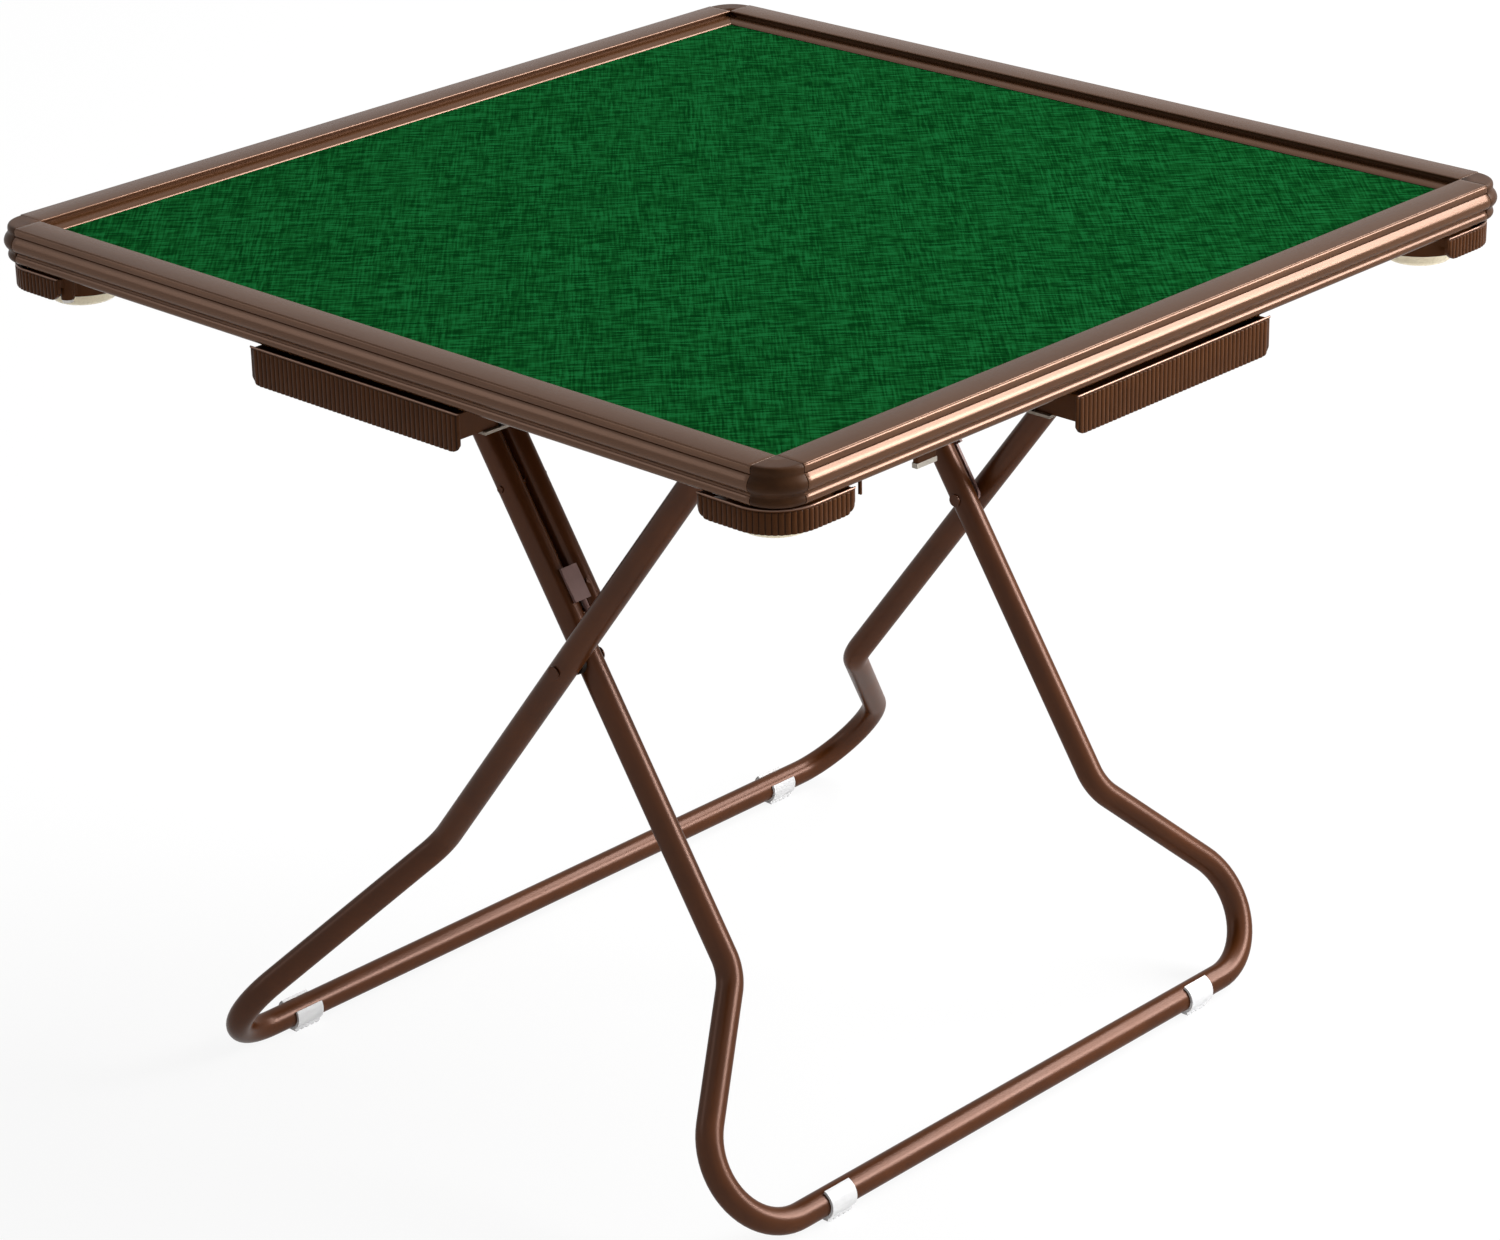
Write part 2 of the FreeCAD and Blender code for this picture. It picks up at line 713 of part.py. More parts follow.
def tray_pins():
    """Shouldered screws under the rails that the corner trays swing on."""
    pins = []
    top_height = s.table_height - s.rail_height
    length = tray_top_drop + s.tray_height - s.rail_height + s.loose_gap
    x = half_side - s.tray_pin_inset
    y = -half_side + tray_pin_along
    for quarters in range(len(CORNERS)):
        shank = rod(s.tray_pin_radius, length, x, y, top_height - length)
        head = rod(s.tray_pin_head_radius, s.tray_pin_head_height, x, y,
                   top_height - length - s.tray_pin_head_height)
        pins.append(turned(fuse(shank, head), quarters))
    return keep(group(*pins), "tray_pivot_screws")


def tray_tabs():
    """Small stop tabs hung under the rails beside the trays."""
    tabs = []
    height = s.table_height - s.rail_height - s.tray_tab_height
    x = half_side - s.tray_tab_inset - s.tray_tab_width
    y = s.tray_reach + s.tray_tab_gap - half_side
    for quarters in range(len(CORNERS)):
        tab = box(s.tray_tab_width, s.tray_tab_thickness, s.tray_tab_height, x, y, height)
        tabs.append(turned(tab, quarters))
    return keep(group(*tabs), "tray_stop_tabs")


# Crossed leg frames

cross_rise = s.cross_height.value - bar_height.value
inner_lean = math.degrees(math.atan2(s.cross_x.value - s.inner_bar_x.value, cross_rise))
outer_lean = math.degrees(math.atan2(s.cross_x.value - s.outer_bar_x.value, cross_rise))


def leg_height(lean, height):
    """Distance along a leaning frame from its floor bar up to a height."""
    return (height - bar_height.value) / math.cos(math.radians(lean))


inner_cross = leg_height(inner_lean, s.cross_height.value)
outer_cross = leg_height(outer_lean, s.cross_height.value)
inner_pin = leg_height(inner_lean, pivot_height.value)
outer_pin = leg_height(outer_lean, pivot_height.value)


def rounded_path(points, radii):
    """Straight runs joined by tangent arcs, one radius for each inner point."""
    edges = []
    start = points[0]
    for before, corner, after, radius in zip(points, points[1:], points[2:], radii):
        back = (before - corner).normalize()
        ahead = (after - corner).normalize()
        half_angle = back.getAngle(ahead) / 2
        reach = radius / math.tan(half_angle)
        middle = corner + (back + ahead).normalize() * (radius / math.sin(half_angle) - radius)
        edges.append(Part.LineSegment(start, corner + back * reach).toShape())
        edges.append(Part.Arc(corner + back * reach, middle, corner + ahead * reach).toShape())
        start = corner + ahead * reach
    edges.append(Part.LineSegment(start, points[-1]).toShape())
    return Part.Wire(edges)


def tube(path, radius, wall):
    """Hollow tube along a path that starts downwards."""
    start = path.Edges[0].Vertexes[0].Point
    rods = []
    for size in (radius, radius - wall):
        ring = Part.Wire(Part.makeCircle(size, start, UP))
        rods.append(path.makePipeShell([ring], True, False))
    return rods[0].cut(rods[1])


def cross_hole(radius, y, along):
    """Round tool across a tube, along Y, at a distance up the leg."""
    reach = s.tube_radius.value + s.overrun.value
    return Part.makeCylinder(radius, 2 * reach, FreeCAD.Vector(0, y - reach, along), ALONG_Y)


def leg_frame(label, bar_x, leg_y, flare_y, shoulder, lean, pin_at, cross_at, pin_radius, rivets, blind):
    """U-shaped tube frame: straight legs, shoulders flared outward, a floor bar with round corners."""
    end = pin_at + s.leg_end_length.value
    points = [FreeCAD.Vector(0, -leg_y, end), FreeCAD.Vector(0, -leg_y, shoulder),
              FreeCAD.Vector(0, -flare_y, 0), FreeCAD.Vector(0, flare_y, 0),
              FreeCAD.Vector(0, leg_y, shoulder), FreeCAD.Vector(0, leg_y, end)]
    corner = s.corner_bend_radius.value
    bend = s.shoulder_bend_radius.value
    shape = tube(rounded_path(points, (bend, corner, corner, bend)), s.tube_radius.value, s.tube_wall.value)
    for y in (-leg_y, leg_y):
        shape = shape.cut(cross_hole(s.bolt_radius.value + s.running_gap.value, y, cross_at))
        shape = shape.cut(cross_hole(pin_radius + s.running_gap.value, y, pin_at))
    for along in rivets:
        shape = shape.cut(cross_hole(s.rivet_radius.value, -leg_y, along))
    for along in blind:
        shape = shape.cut(Part.makeCylinder(s.rivet_radius.value, s.tube_radius.value + s.overrun.value,
                                            FreeCAD.Vector(0, -leg_y, along), ALONG_Y))
    return keep(tilted(solid(shape), lean, bar_x, bar_height), label)


def bolt(first, last, along, lean, bar_x, nut=True):
    """Bolt along Y between two outer faces, with a round head and a nut."""
    head = Size.of(0) + s.bolt_head_height
    parts = [rod(s.bolt_radius, Size.of(last - first), ZERO, first, along, ALONG_Y),
             rod(s.bolt_head_radius, head, ZERO, Size.of(first) - head, along, ALONG_Y)]
    if nut:
        parts.append(rod(s.bolt_head_radius, head, ZERO, last, along, ALONG_Y))
    return tilted(fuse(*parts), lean, bar_x, bar_height)


def outer_frame():
    """Wider frame, hinged to the board at its top, with bolts that the inner frame turns on."""
    leg_frame("outer_frame_tube", s.outer_bar_x, outer_leg_y.value, (outer_leg_y + s.outer_flare).value,
              s.outer_shoulder.value, outer_lean, outer_pin, outer_cross, s.bolt_radius.value, (), ())
    face = outer_leg_y.value + s.tube_radius.value + s.loose_gap.value
    inside = s.inner_leg_y.value - s.tube_radius.value - s.loose_gap.value
    bolts = [bolt(-face, -inside, outer_cross, outer_lean, s.outer_bar_x),
             bolt(inside, face, outer_cross, outer_lean, s.outer_bar_x)]
    keep(group(*bolts), "cross_bolts")
    foot_clips("outer_frame_feet", s.outer_bar_x, s.outer_clip_y, OUTER_CLIP_DEGREES)
    tube_plugs("outer_frame_plugs", s.outer_bar_x, outer_lean, outer_pin,
               (-outer_leg_y, outer_leg_y))


def inner_frame():
    """Narrower frame with a strut tube along its front leg, guide pins at the top and its fittings."""
    rivet_at = inner_cross + s.rivet_along.value
    low = inner_cross + s.strut_foot.value
    low_rivet_at = low + s.strut_rivet_inset.value
    leg_frame("inner_frame_tube", s.inner_bar_x, s.inner_leg_y.value, (s.inner_leg_y + s.inner_flare).value,
              s.inner_shoulder.value, inner_lean, inner_pin, inner_cross, s.guide_pin_radius.value,
              (rivet_at,), (low_rivet_at,))
    strut_y = strut_spacing - s.inner_leg_y
    length = inner_pin + s.leg_end_length.value - low
    strut = cut(rod(s.tube_radius, Size.of(length), ZERO, strut_y, low),
                rod(s.tube_radius - s.tube_wall, Size.of(length) + s.overrun * 2, ZERO, strut_y,
                    Size.of(low) - s.overrun))
    reach = s.tube_radius + s.overrun
    for radius, along in ((s.rivet_radius, low_rivet_at), (s.rivet_radius, rivet_at),
                          (s.guide_pin_radius + s.running_gap, inner_pin)):
        strut = cut(strut, rod(radius, reach * 2, ZERO, strut_y - reach, along, ALONG_Y))
    keep(tilted(strut, inner_lean, s.inner_bar_x, bar_height), "strut_tube")

    pins = []
    for hand in (-1, 1):
        inner_end = guide_y - s.guide_thickness - s.loose_gap
        outer_end = s.inner_leg_y + s.tube_radius + s.loose_gap
        start = -outer_end if hand < 0 else inner_end
        shank = rod(s.guide_pin_radius, outer_end - inner_end, ZERO, start, inner_pin, ALONG_Y)
        head_at = inner_end - s.guide_head_height if hand > 0 else -inner_end
        head = rod(s.guide_head_radius, s.guide_head_height, ZERO, head_at, inner_pin, ALONG_Y)
        pins.append(tilted(fuse(shank, head), inner_lean, s.inner_bar_x, bar_height))
    keep(group(*pins), "guide_pins")

    rivet_face = s.inner_leg_y + s.tube_radius
    rivet_end = s.inner_leg_y - strut_spacing - s.tube_radius
    rivets = []
    for start, along in ((-rivet_face, rivet_at), (-s.inner_leg_y, low_rivet_at)):
        parts = [rod(s.rivet_radius, -rivet_end - start, ZERO, start, along, ALONG_Y),
                 rod(s.rivet_head_radius, s.rivet_head_height, ZERO, -rivet_end, along, ALONG_Y),
                 rod(s.rivet_head_radius, strut_spacing - s.tube_radius * 2, ZERO,
                     s.tube_radius - s.inner_leg_y, along, ALONG_Y)]
        if along == rivet_at:
            parts.append(rod(s.rivet_head_radius, s.rivet_head_height, ZERO, start - s.rivet_head_height,
                             along, ALONG_Y))
        rivets.append(tilted(fuse(*parts), inner_lean, s.inner_bar_x, bar_height))
    screw = rod(s.lock_screw_radius, s.rivet_head_height * 2, s.tube_radius - s.rivet_head_height,
                strut_y - s.lock_screw_shift, inner_cross + s.lock_along.value + s.lock_screw_along.value,
                ALONG_X)
    tube_bar = rod(s.tube_radius, s.lock_length * 2, ZERO, strut_y,
                   inner_cross + s.lock_along.value - s.lock_screw_along.value)
    rivets.append(tilted(cut(screw, tube_bar), inner_lean, s.inner_bar_x, bar_height))
    keep(group(*rivets), "strut_rivets")

    gap = outer_leg_y - s.inner_leg_y - s.tube_radius * 2 - s.loose_gap * 2
    first = -s.inner_leg_y - s.tube_radius - s.loose_gap - gap
    ring = cut(rod(s.spacer_radius, gap, ZERO, first, inner_cross, ALONG_Y),
               rod(s.bolt_radius + s.running_gap, gap + s.overrun * 2, ZERO, first - s.overrun,
                   inner_cross, ALONG_Y))
    keep(tilted(ring, inner_lean, s.inner_bar_x, bar_height), "cross_spacer")

    side = s.inner_leg_y + s.tube_radius + s.loose_gap
    blade = box(s.plate_width, s.plate_thickness, s.plate_length, -s.plate_width / 2, side, inner_cross)
    nose = rod(s.plate_width / 2, s.plate_thickness, ZERO, side, inner_cross, ALONG_Y)
    shelf = box(s.plate_flange, s.plate_thickness, s.plate_thickness, s.plate_width / 2, side,
                Size.of(inner_cross) + s.plate_length - s.plate_thickness)
    hole = rod(s.bolt_radius + s.running_gap, s.plate_thickness + s.overrun * 2, ZERO, side - s.overrun,
               inner_cross, ALONG_Y)
    plate = cut(fuse(blade, nose, shelf), hole)
    keep(tilted(plate, inner_lean, s.inner_bar_x, bar_height), "stop_plate")

    foot_clips("inner_frame_feet", s.inner_bar_x, s.inner_clip_y, INNER_CLIP_DEGREES)
    tube_plugs("inner_frame_plugs", s.inner_bar_x, inner_lean, inner_pin,
               (-s.inner_leg_y, s.inner_leg_y, strut_y))


def leg_lock():
    """Sliding lock: a folded plate across the leg and the strut, with a rod down towards the crossing."""
    middle = strut_spacing / 2 - s.inner_leg_y
    low = Size.of(inner_cross) + s.lock_along
    front = s.tube_radius + s.loose_gap
    plate = box(s.lock_thickness, s.lock_width, s.lock_length, front,
                middle - s.lock_width / 2 - s.lock_shift, low)
    rim_depth = s.lock_rod_lift - s.lock_rod_radius
    gap = strut_spacing - s.tube_radius * 2 - s.loose_gap * 2
    tongue = box(front - rim_depth, gap, s.lock_rim, rim_depth, middle - gap / 2,
                 low + s.lock_length - s.lock_rim)
    keep(tilted(fuse(plate, tongue), inner_lean, s.inner_bar_x, bar_height), "lock_plate")
    start = low - s.lock_rod_length + s.lock_rim
    pull = rod(s.lock_rod_radius, s.lock_rod_length, s.lock_rod_lift, middle, start)
    keep(tilted(pull, inner_lean, s.inner_bar_x, bar_height), "lock_rod")


def foot_clips(label, bar_x, clip_y, turn):
    """Plastic clips snapped round a floor bar from below, each with a ribbed sole on the floor."""
    clips = []
    outer = s.tube_radius + s.clip_thickness
    for hand in (-1, 1):
        start = clip_y * hand - s.clip_length / 2
        ring = rod(outer, s.clip_length, bar_x, start, bar_height, ALONG_Y)
        ring.Angle = CLIP_SWEEP_DEGREES
        ring.Placement = FreeCAD.Placement(vector(bar_x, start, bar_height),
                                           FreeCAD.Rotation(UP, ALONG_Y).multiply(
                                               FreeCAD.Rotation(UP, turn)))
        rib_pitch = s.clip_length / CLIP_RIB_COUNT
        soles = [box(s.clip_base_width, s.clip_length, bar_height - s.tube_radius / 2 - s.clip_rib_depth,
                     bar_x - s.clip_base_width / 2, start, s.clip_rib_depth)]
        for rib in range(CLIP_RIB_COUNT):
            soles.append(box(s.clip_base_width, s.clip_rib_width, s.clip_rib_depth * 2,
                             bar_x - s.clip_base_width / 2,
                             start + rib_pitch * (rib + MIDDLE_SHARE) - s.clip_rib_width / 2, ZERO))
        bore = rod(s.tube_radius + s.running_gap, s.clip_length + s.overrun * 2, bar_x, start - s.overrun,
                   bar_height, ALONG_Y)
        clips.append(cut(fuse(ring, *soles), bore))
    return keep(group(*clips), label)


def tube_plugs(label, bar_x, lean, pin_at, places):
    """Plastic plugs in the open upper ends of the tubes."""
    plugs = []
    end = Size.of(pin_at) + s.leg_end_length
    stem = s.leg_end_length - s.guide_pin_radius - s.plug_flange
    for y in places:
        inner = rod(s.tube_radius - s.tube_wall - s.running_gap, stem, ZERO, y, end - stem)
        cap = rod(s.tube_radius, s.plug_flange, ZERO, y, end)
        plugs.append(tilted(fuse(inner, cap), lean, bar_x, bar_height))
    return keep(group(*plugs), label)


def place_x(bar_x, lean, along):
    """X of a point at a distance up a leaning frame."""
    return Size.of(bar_x.value + along * math.sin(math.radians(lean)))


def pivot_bracket(name, hand):
    """U bracket under the board that carries the outer frame's hinge bolt."""
    x = place_x(s.outer_bar_x, outer_lean, outer_pin)
    y = outer_leg_y * hand
    base = box(s.bracket_base_length, s.bracket_base_width, s.bracket_thickness,
               x - s.bracket_base_length / 2, y - s.bracket_base_width / 2,
               board_under - s.bracket_thickness)
    parts = [base]
    inner = s.tube_radius + s.bracket_side_gap
    half = s.bracket_cheek_width / 2
    for start in (y + inner, y - inner - s.bracket_thickness):
        parts.append(box(s.bracket_cheek_width, s.bracket_thickness, board_under - pivot_height,
                         x - half, start, pivot_height))
        parts.append(rod(half, s.bracket_thickness, x, start, pivot_height, ALONG_Y))
    reach = inner + s.bracket_thickness + s.overrun
    hole = rod(s.bolt_radius + s.running_gap, reach * 2, x, y - reach, pivot_height, ALONG_Y)
    return keep(cut(fuse(*parts), hole), "pivot_bracket_" + name)


def pivot_bolts():
    """Hinge bolts of the outer frame."""
    bolts = []
    reach = s.tube_radius.value + s.bracket_side_gap.value + s.bracket_thickness.value
    for hand in (-1, 1):
        y = outer_leg_y.value * hand
        bolts.append(bolt(y - reach, y + reach, outer_pin, outer_lean, s.outer_bar_x))
    return keep(group(*bolts), "pivot_bolts")


def guide_rail(name, hand):
    """Slotted steel angle under the board in which the inner frame's top pin slides as the legs fold."""
    start = place_x(s.inner_bar_x, inner_lean, inner_pin)
    slot_half = s.guide_pin_radius + s.guide_slot_gap
    front = start + slot_half + s.guide_margin
    rear = -half_inner - s.heel_reach + s.loose_gap
    foot = pivot_height - slot_half - s.guide_margin
    outer = guide_y * hand if hand > 0 else -guide_y
    web_y = outer - s.guide_thickness if hand > 0 else outer
    flange_y = outer - s.guide_flange if hand > 0 else outer
    keeper = -half_inner + s.keeper_reach + s.loose_gap
    web = box(front - rear, s.guide_thickness, board_under - foot, rear, web_y, foot)
    flange = box(front - keeper, s.guide_flange, s.guide_thickness, keeper, flange_y,
                 board_under - s.guide_thickness)
    relief = box(keeper - rear + s.overrun, s.guide_thickness + s.overrun * 2,
                 s.keeper_thickness + s.loose_gap + s.overrun, rear - s.overrun, web_y - s.overrun,
                 board_under - s.keeper_thickness - s.loose_gap)
    slot_end = rear + s.guide_end_margin + slot_half
    through = s.guide_thickness + s.overrun * 2
    slot = fuse(box(start - slot_end, through, slot_half * 2, slot_end, web_y - s.overrun,
                    pivot_height - slot_half),
                rod(slot_half, through, start, web_y - s.overrun, pivot_height, ALONG_Y),
                rod(slot_half, through, slot_end, web_y - s.overrun, pivot_height, ALONG_Y))
    return keep(cut(fuse(web, flange), relief, slot), "guide_rail_" + name)


def leg_rests():
    """Flat stops under the board that the folded inner frame lies against, each with a pale soft foot."""
    pads = []
    for name, hand in (("front", -1), ("back", 1)):
        x = half_side - s.rest_setback - s.rest_length / 2
        y = s.rest_y * hand - s.rest_width / 2
        foot = s.table_height - s.rest_drop
        block = box(s.rest_length, s.rest_width, board_under - foot, x, y, foot)
        bevelled = doc.addObject("Part::Chamfer", "bevelled")
        bevelled.Base = block
        doc.recompute()
        picks = []
        for index, edge in enumerate(block.Shape.Edges, 1):
            if abs(edge.tangentAt(edge.FirstParameter).z) > 0.9:
                picks.append((index, s.rest_taper.value, s.rest_taper.value))
        bevelled.Edges = picks
        keep(bevelled, "leg_rest_" + name)
        pads.append(box(s.rest_length, s.rest_width, s.pad_thickness, x, y, foot - s.pad_thickness))
    return keep(group(*pads), "leg_rest_pads")


def fitting_screws():
    """Screw heads that hold the brackets and guides to the board."""
    heads = []
    x = place_x(s.outer_bar_x, outer_lean, outer_pin)
    foot = board_under - s.bracket_thickness - s.screw_head_height
    inset = s.screw_radius * 2
    for hand in (-1, 1):
        for reach in (-1, 1):
            heads.append(rod(s.screw_radius, s.screw_head_height,
                             x + (s.bracket_base_length / 2 - inset) * reach, outer_leg_y * hand, foot))
    front = place_x(s.inner_bar_x, inner_lean, inner_pin)
    guide_length = front + half_inner
    foot = board_under - s.guide_thickness - s.screw_head_height
    for hand in (-1, 1):
        y = (guide_y - s.guide_thickness - (s.guide_flange - s.guide_thickness) / 2) * hand
        for share in GUIDE_SCREW_SHARES:
            heads.append(rod(s.screw_radius, s.screw_head_height, front - guide_length * share, y, foot))
    return keep(group(*heads), "fitting_screws")


top()
for side in SIDES:
    rail(side)
    drawer_face(side)
    drawer_box(side)
    drawer_runners(side)
for corner in CORNERS:
    corner_cap(corner)
    tray_holder(corner)
    dish(corner)
drawer_glides()
tray_pins()
tray_tabs()
outer_frame()
inner_frame()
leg_lock()
for name, hand in (("front", -1), ("back", 1)):
    pivot_bracket(name, hand)
    guide_rail(name, hand)
pivot_bolts()
leg_rests()
fitting_screws()

doc.recompute()
for item in doc.Objects:
    if "Invalid" in item.State or "Error" in item.State:
        raise RuntimeError("failed object: %s %s" % (item.Name, item.State))
for piece in pieces:
    if piece.Shape.isNull() or not piece.Shape.isValid():
        raise RuntimeError("bad shape: " + piece.Label)

os.makedirs("parts", exist_ok=True)
for piece in pieces:
    piece.Shape.exportStep("parts/%s.step" % piece.Label)
print("%d sub-parts" % len(pieces))
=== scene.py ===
import json
import math
import bmesh
import bpy
import numpy as np
from mathutils import Matrix, Vector


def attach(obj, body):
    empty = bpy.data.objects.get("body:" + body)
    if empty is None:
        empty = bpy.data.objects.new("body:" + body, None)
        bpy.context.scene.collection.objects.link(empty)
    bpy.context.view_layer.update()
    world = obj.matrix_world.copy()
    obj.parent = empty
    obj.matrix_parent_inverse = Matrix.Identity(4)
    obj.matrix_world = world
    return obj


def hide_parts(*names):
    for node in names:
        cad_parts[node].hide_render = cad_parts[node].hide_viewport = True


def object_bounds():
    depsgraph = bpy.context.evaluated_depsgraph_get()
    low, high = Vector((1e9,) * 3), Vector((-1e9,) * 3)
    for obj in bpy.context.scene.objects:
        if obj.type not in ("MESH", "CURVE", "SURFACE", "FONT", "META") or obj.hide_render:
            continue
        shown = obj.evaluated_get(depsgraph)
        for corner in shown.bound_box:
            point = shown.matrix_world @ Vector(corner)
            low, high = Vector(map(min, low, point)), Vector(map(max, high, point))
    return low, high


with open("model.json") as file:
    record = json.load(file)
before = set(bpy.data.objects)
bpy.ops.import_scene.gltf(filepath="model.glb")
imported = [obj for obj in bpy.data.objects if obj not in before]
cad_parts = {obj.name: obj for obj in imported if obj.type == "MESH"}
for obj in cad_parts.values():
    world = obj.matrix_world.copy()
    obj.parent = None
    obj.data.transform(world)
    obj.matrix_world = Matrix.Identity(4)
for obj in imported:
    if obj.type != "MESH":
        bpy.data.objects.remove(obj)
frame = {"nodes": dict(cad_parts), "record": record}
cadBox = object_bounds()
nodes = frame["nodes"]
mm = 0.001
sides = ("front", "right", "back", "left")
corners = ("front_right", "back_right", "back_left", "front_left")
tableTop = round(cadBox[1][2] / mm, 3)  # level of the rails' flat tops
print("frame loaded,", len(nodes), "nodes")


# surfaces

weldReach = 2e-6  # points nearer than this, in metres, become one
tiny = 1e-9  # keeps a division from failing
latheSteps = 72
noEdge = np.zeros((1, 1))  # edge share of a patch with no rubbed edge or painted highlight, and no painted groove shade


def arc(centreU, centreV, radius, start, end, count):  # points on a circle, angles in degrees
    angle = np.radians(np.linspace(start, end, count))
    return np.stack([centreU + radius * np.cos(angle), centreV + radius * np.sin(angle)], axis=1)


def runLength(points):  # distance walked along a row of points
    strides = np.linalg.norm(np.diff(points, axis=0), axis=1)
    return np.concatenate([[0.0], np.cumsum(strides)])


def roundOff(radius, left):  # sink of a quarter round near its end: its radius less the circle's height
    return radius - np.sqrt(radius ** 2 - np.clip(radius - left, 0, radius) ** 2)


def sideNormals(profile):  # unit normals of a profile, to the left of its run
    run = np.gradient(profile, axis=0)
    normal = np.stack([-run[:, 1], run[:, 0]], axis=1)
    return normal / np.maximum(np.linalg.norm(normal, axis=1), tiny)[:, None]


def quarterTurn(patches, quarters):  # patches turned about the upright axis by whole quarters
    cosine = round(math.cos(quarters * math.pi / 2))
    sine = round(math.sin(quarters * math.pi / 2))
    matrix = np.array([[cosine, sine, 0], [-sine, cosine, 0], [0, 0, 1]], float)
    return [(grid @ matrix, uv, edge) for grid, uv, edge in patches]


def lathe(centreX, centreY, foot, profile):  # a profile of radius and height turned about an upright axis
    profile = np.asarray(profile, float)
    angle = np.linspace(0, 2 * math.pi, latheSteps + 1)[:, None]
    x = centreX + np.cos(angle) * profile[:, 0]
    y = centreY + np.sin(angle) * profile[:, 0]
    grid = np.stack([x, y, np.broadcast_to(foot + profile[:, 1], x.shape)], axis=2)
    uv = np.stack(np.broadcast_arrays(angle * profile[:, 0].max(), runLength(profile)[None]), axis=2)
    return grid, uv, noEdge


def makePiece(name, patches, finish, crease=32.0, fillEnds=False):
    # each patch is a grid of points with a grid of UVs and a grid of edge shares; equal points are welded
    points = np.concatenate([grid.reshape(-1, 3) for grid, uv, edge in patches]) * mm
    flat = np.concatenate([uv.reshape(-1, 2) for grid, uv, edge in patches]) * mm
    share = np.concatenate([np.broadcast_to(edge, grid.shape[:2]).ravel() for grid, uv, edge in patches])
    faces, first = [], 0
    for grid, uv, edge in patches:
        rows, columns = grid.shape[:2]
        low = (np.arange(rows - 1)[:, None] * columns + np.arange(columns - 1)).ravel() + first
        faces.append(np.stack([low, low + 1, low + columns + 1, low + columns], axis=1))
        first += rows * columns
    mesh = bpy.data.meshes.new(name)
    mesh.from_pydata(points.tolist(), [], np.concatenate(faces).tolist())
    corner = np.empty(len(mesh.loops), np.int32)
    mesh.loops.foreach_get("vertex_index", corner)
    mesh.uv_layers.new(name="run").data.foreach_set("uv", flat[corner].astype(np.float32).ravel())
    mesh.attributes.new("edge", "FLOAT", "POINT").data.foreach_set("value", share.astype(np.float32))
    shape = bmesh.new()
    shape.from_mesh(mesh)
    bmesh.ops.remove_doubles(shape, verts=shape.verts, dist=weldReach)
    if fillEnds:
        bmesh.ops.holes_fill(shape, edges=[e for e in shape.edges if e.is_boundary], sides=0)
    bmesh.ops.recalc_face_normals(shape, faces=shape.faces)
    shape.to_mesh(mesh)
    shape.free()
    mesh.polygons.foreach_set("use_smooth", np.ones(len(mesh.polygons), bool))
    mesh.set_sharp_from_angle(angle=math.radians(crease))
    mesh.materials.append(finish)
    piece = bpy.data.objects.new(name, mesh)
    bpy.context.scene.collection.objects.link(piece)
    return piece


def dress(piece, node, body):  # the piece stands for a CAD node and moves with its body
    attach(piece, body)
    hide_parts(node)
    return piece


# finishes

class Wire:  # one socket of a node tree; arithmetic on it adds Math nodes
    def __init__(self, tree, socket=None):
        self.tree = tree
        self.socket = socket

    def node(self, kind, settings=None, inputs=None, output=0):  # settings first, then values or links
        made = self.tree.nodes.new(kind)
        for key, value in (settings or {}).items():
            setattr(made, key, value)
        for key, value in (inputs or {}).items():
            if isinstance(value, Wire):
                self.tree.links.new(value.socket, made.inputs[key])
            else:
                made.inputs[key].default_value = value
        return Wire(self.tree, made.outputs[output] if len(made.outputs) else None)

    def sum(self, operation, first, second):  # one Math node
        return self.node("ShaderNodeMath", {"operation": operation}, {0: first, 1: second})

    def __add__(self, other):
        return self.sum("ADD", self, other)

    def __radd__(self, other):
        return self.sum("ADD", other, self)

    def __sub__(self, other):
        return self.sum("SUBTRACT", self, other)

    def __rsub__(self, other):
        return self.sum("SUBTRACT", other, self)

    def __mul__(self, other):
        return self.sum("MULTIPLY", self, other)

    def __rmul__(self, other):
        return self.sum("MULTIPLY", other, self)


mixSpan = (0.3, 0.7)  # the part of a cloud's range over which two close colours mix


def tone(red, green, blue):  # a screen colour, 0 to 255, as linear light by the sRGB curve
    share = np.array([red, green, blue]) / 255.0
    linear = np.where(share <= 0.04045, share / 12.92, ((share + 0.055) / 1.055) ** 2.4)
    return tuple(float(v) for v in linear) + (1.0,)


def openFinish(name):  # an empty material, and a wire that adds its nodes
    made = bpy.data.materials.new(name)
    made.use_nodes = True
    made.node_tree.nodes.clear()
    return made, Wire(made.node_tree)


def closeFinish(wire, surface):  # what the material shows
    wire.node("ShaderNodeOutputMaterial", inputs={"Surface": surface})


def layer(wire, inputs):  # one layer of a finish
    return wire.node("ShaderNodeBsdfPrincipled", inputs=inputs)


def mixLayers(wire, share, first, second):  # the second layer's share laid over the first
    return wire.node("ShaderNodeMixShader", inputs={0: share, 1: first, 2: second})


def place(wire, scale, turn=(0, 0, 0), source="Object"):  # object or UV coordinates, turned and scaled
    start = wire.node("ShaderNodeTexCoord", output=source)
    turned = wire.node("ShaderNodeMapping", {"vector_type": "POINT"}, {"Vector": start, "Rotation": turn})
    return wire.node("ShaderNodeVectorMath", {"operation": "MULTIPLY"}, {0: turned, 1: scale})


def cloud(wire, spot, detail):  # soft noise between 0 and 1
    return wire.node("ShaderNodeTexNoise",
                     inputs={"Vector": spot, "Scale": 1.0, "Detail": detail, "Roughness": 0.5})


def evenCloud(wire, size, detail):  # noise of the same size in all directions
    return cloud(wire, place(wire, (size, size, size)), detail)


def step(wire, value, low, high):  # smooth step from 0 at low to 1 at high
    return wire.node("ShaderNodeMapRange", {"interpolation_type": "SMOOTHSTEP"},
                     {"Value": value, "From Min": low, "From Max": high})


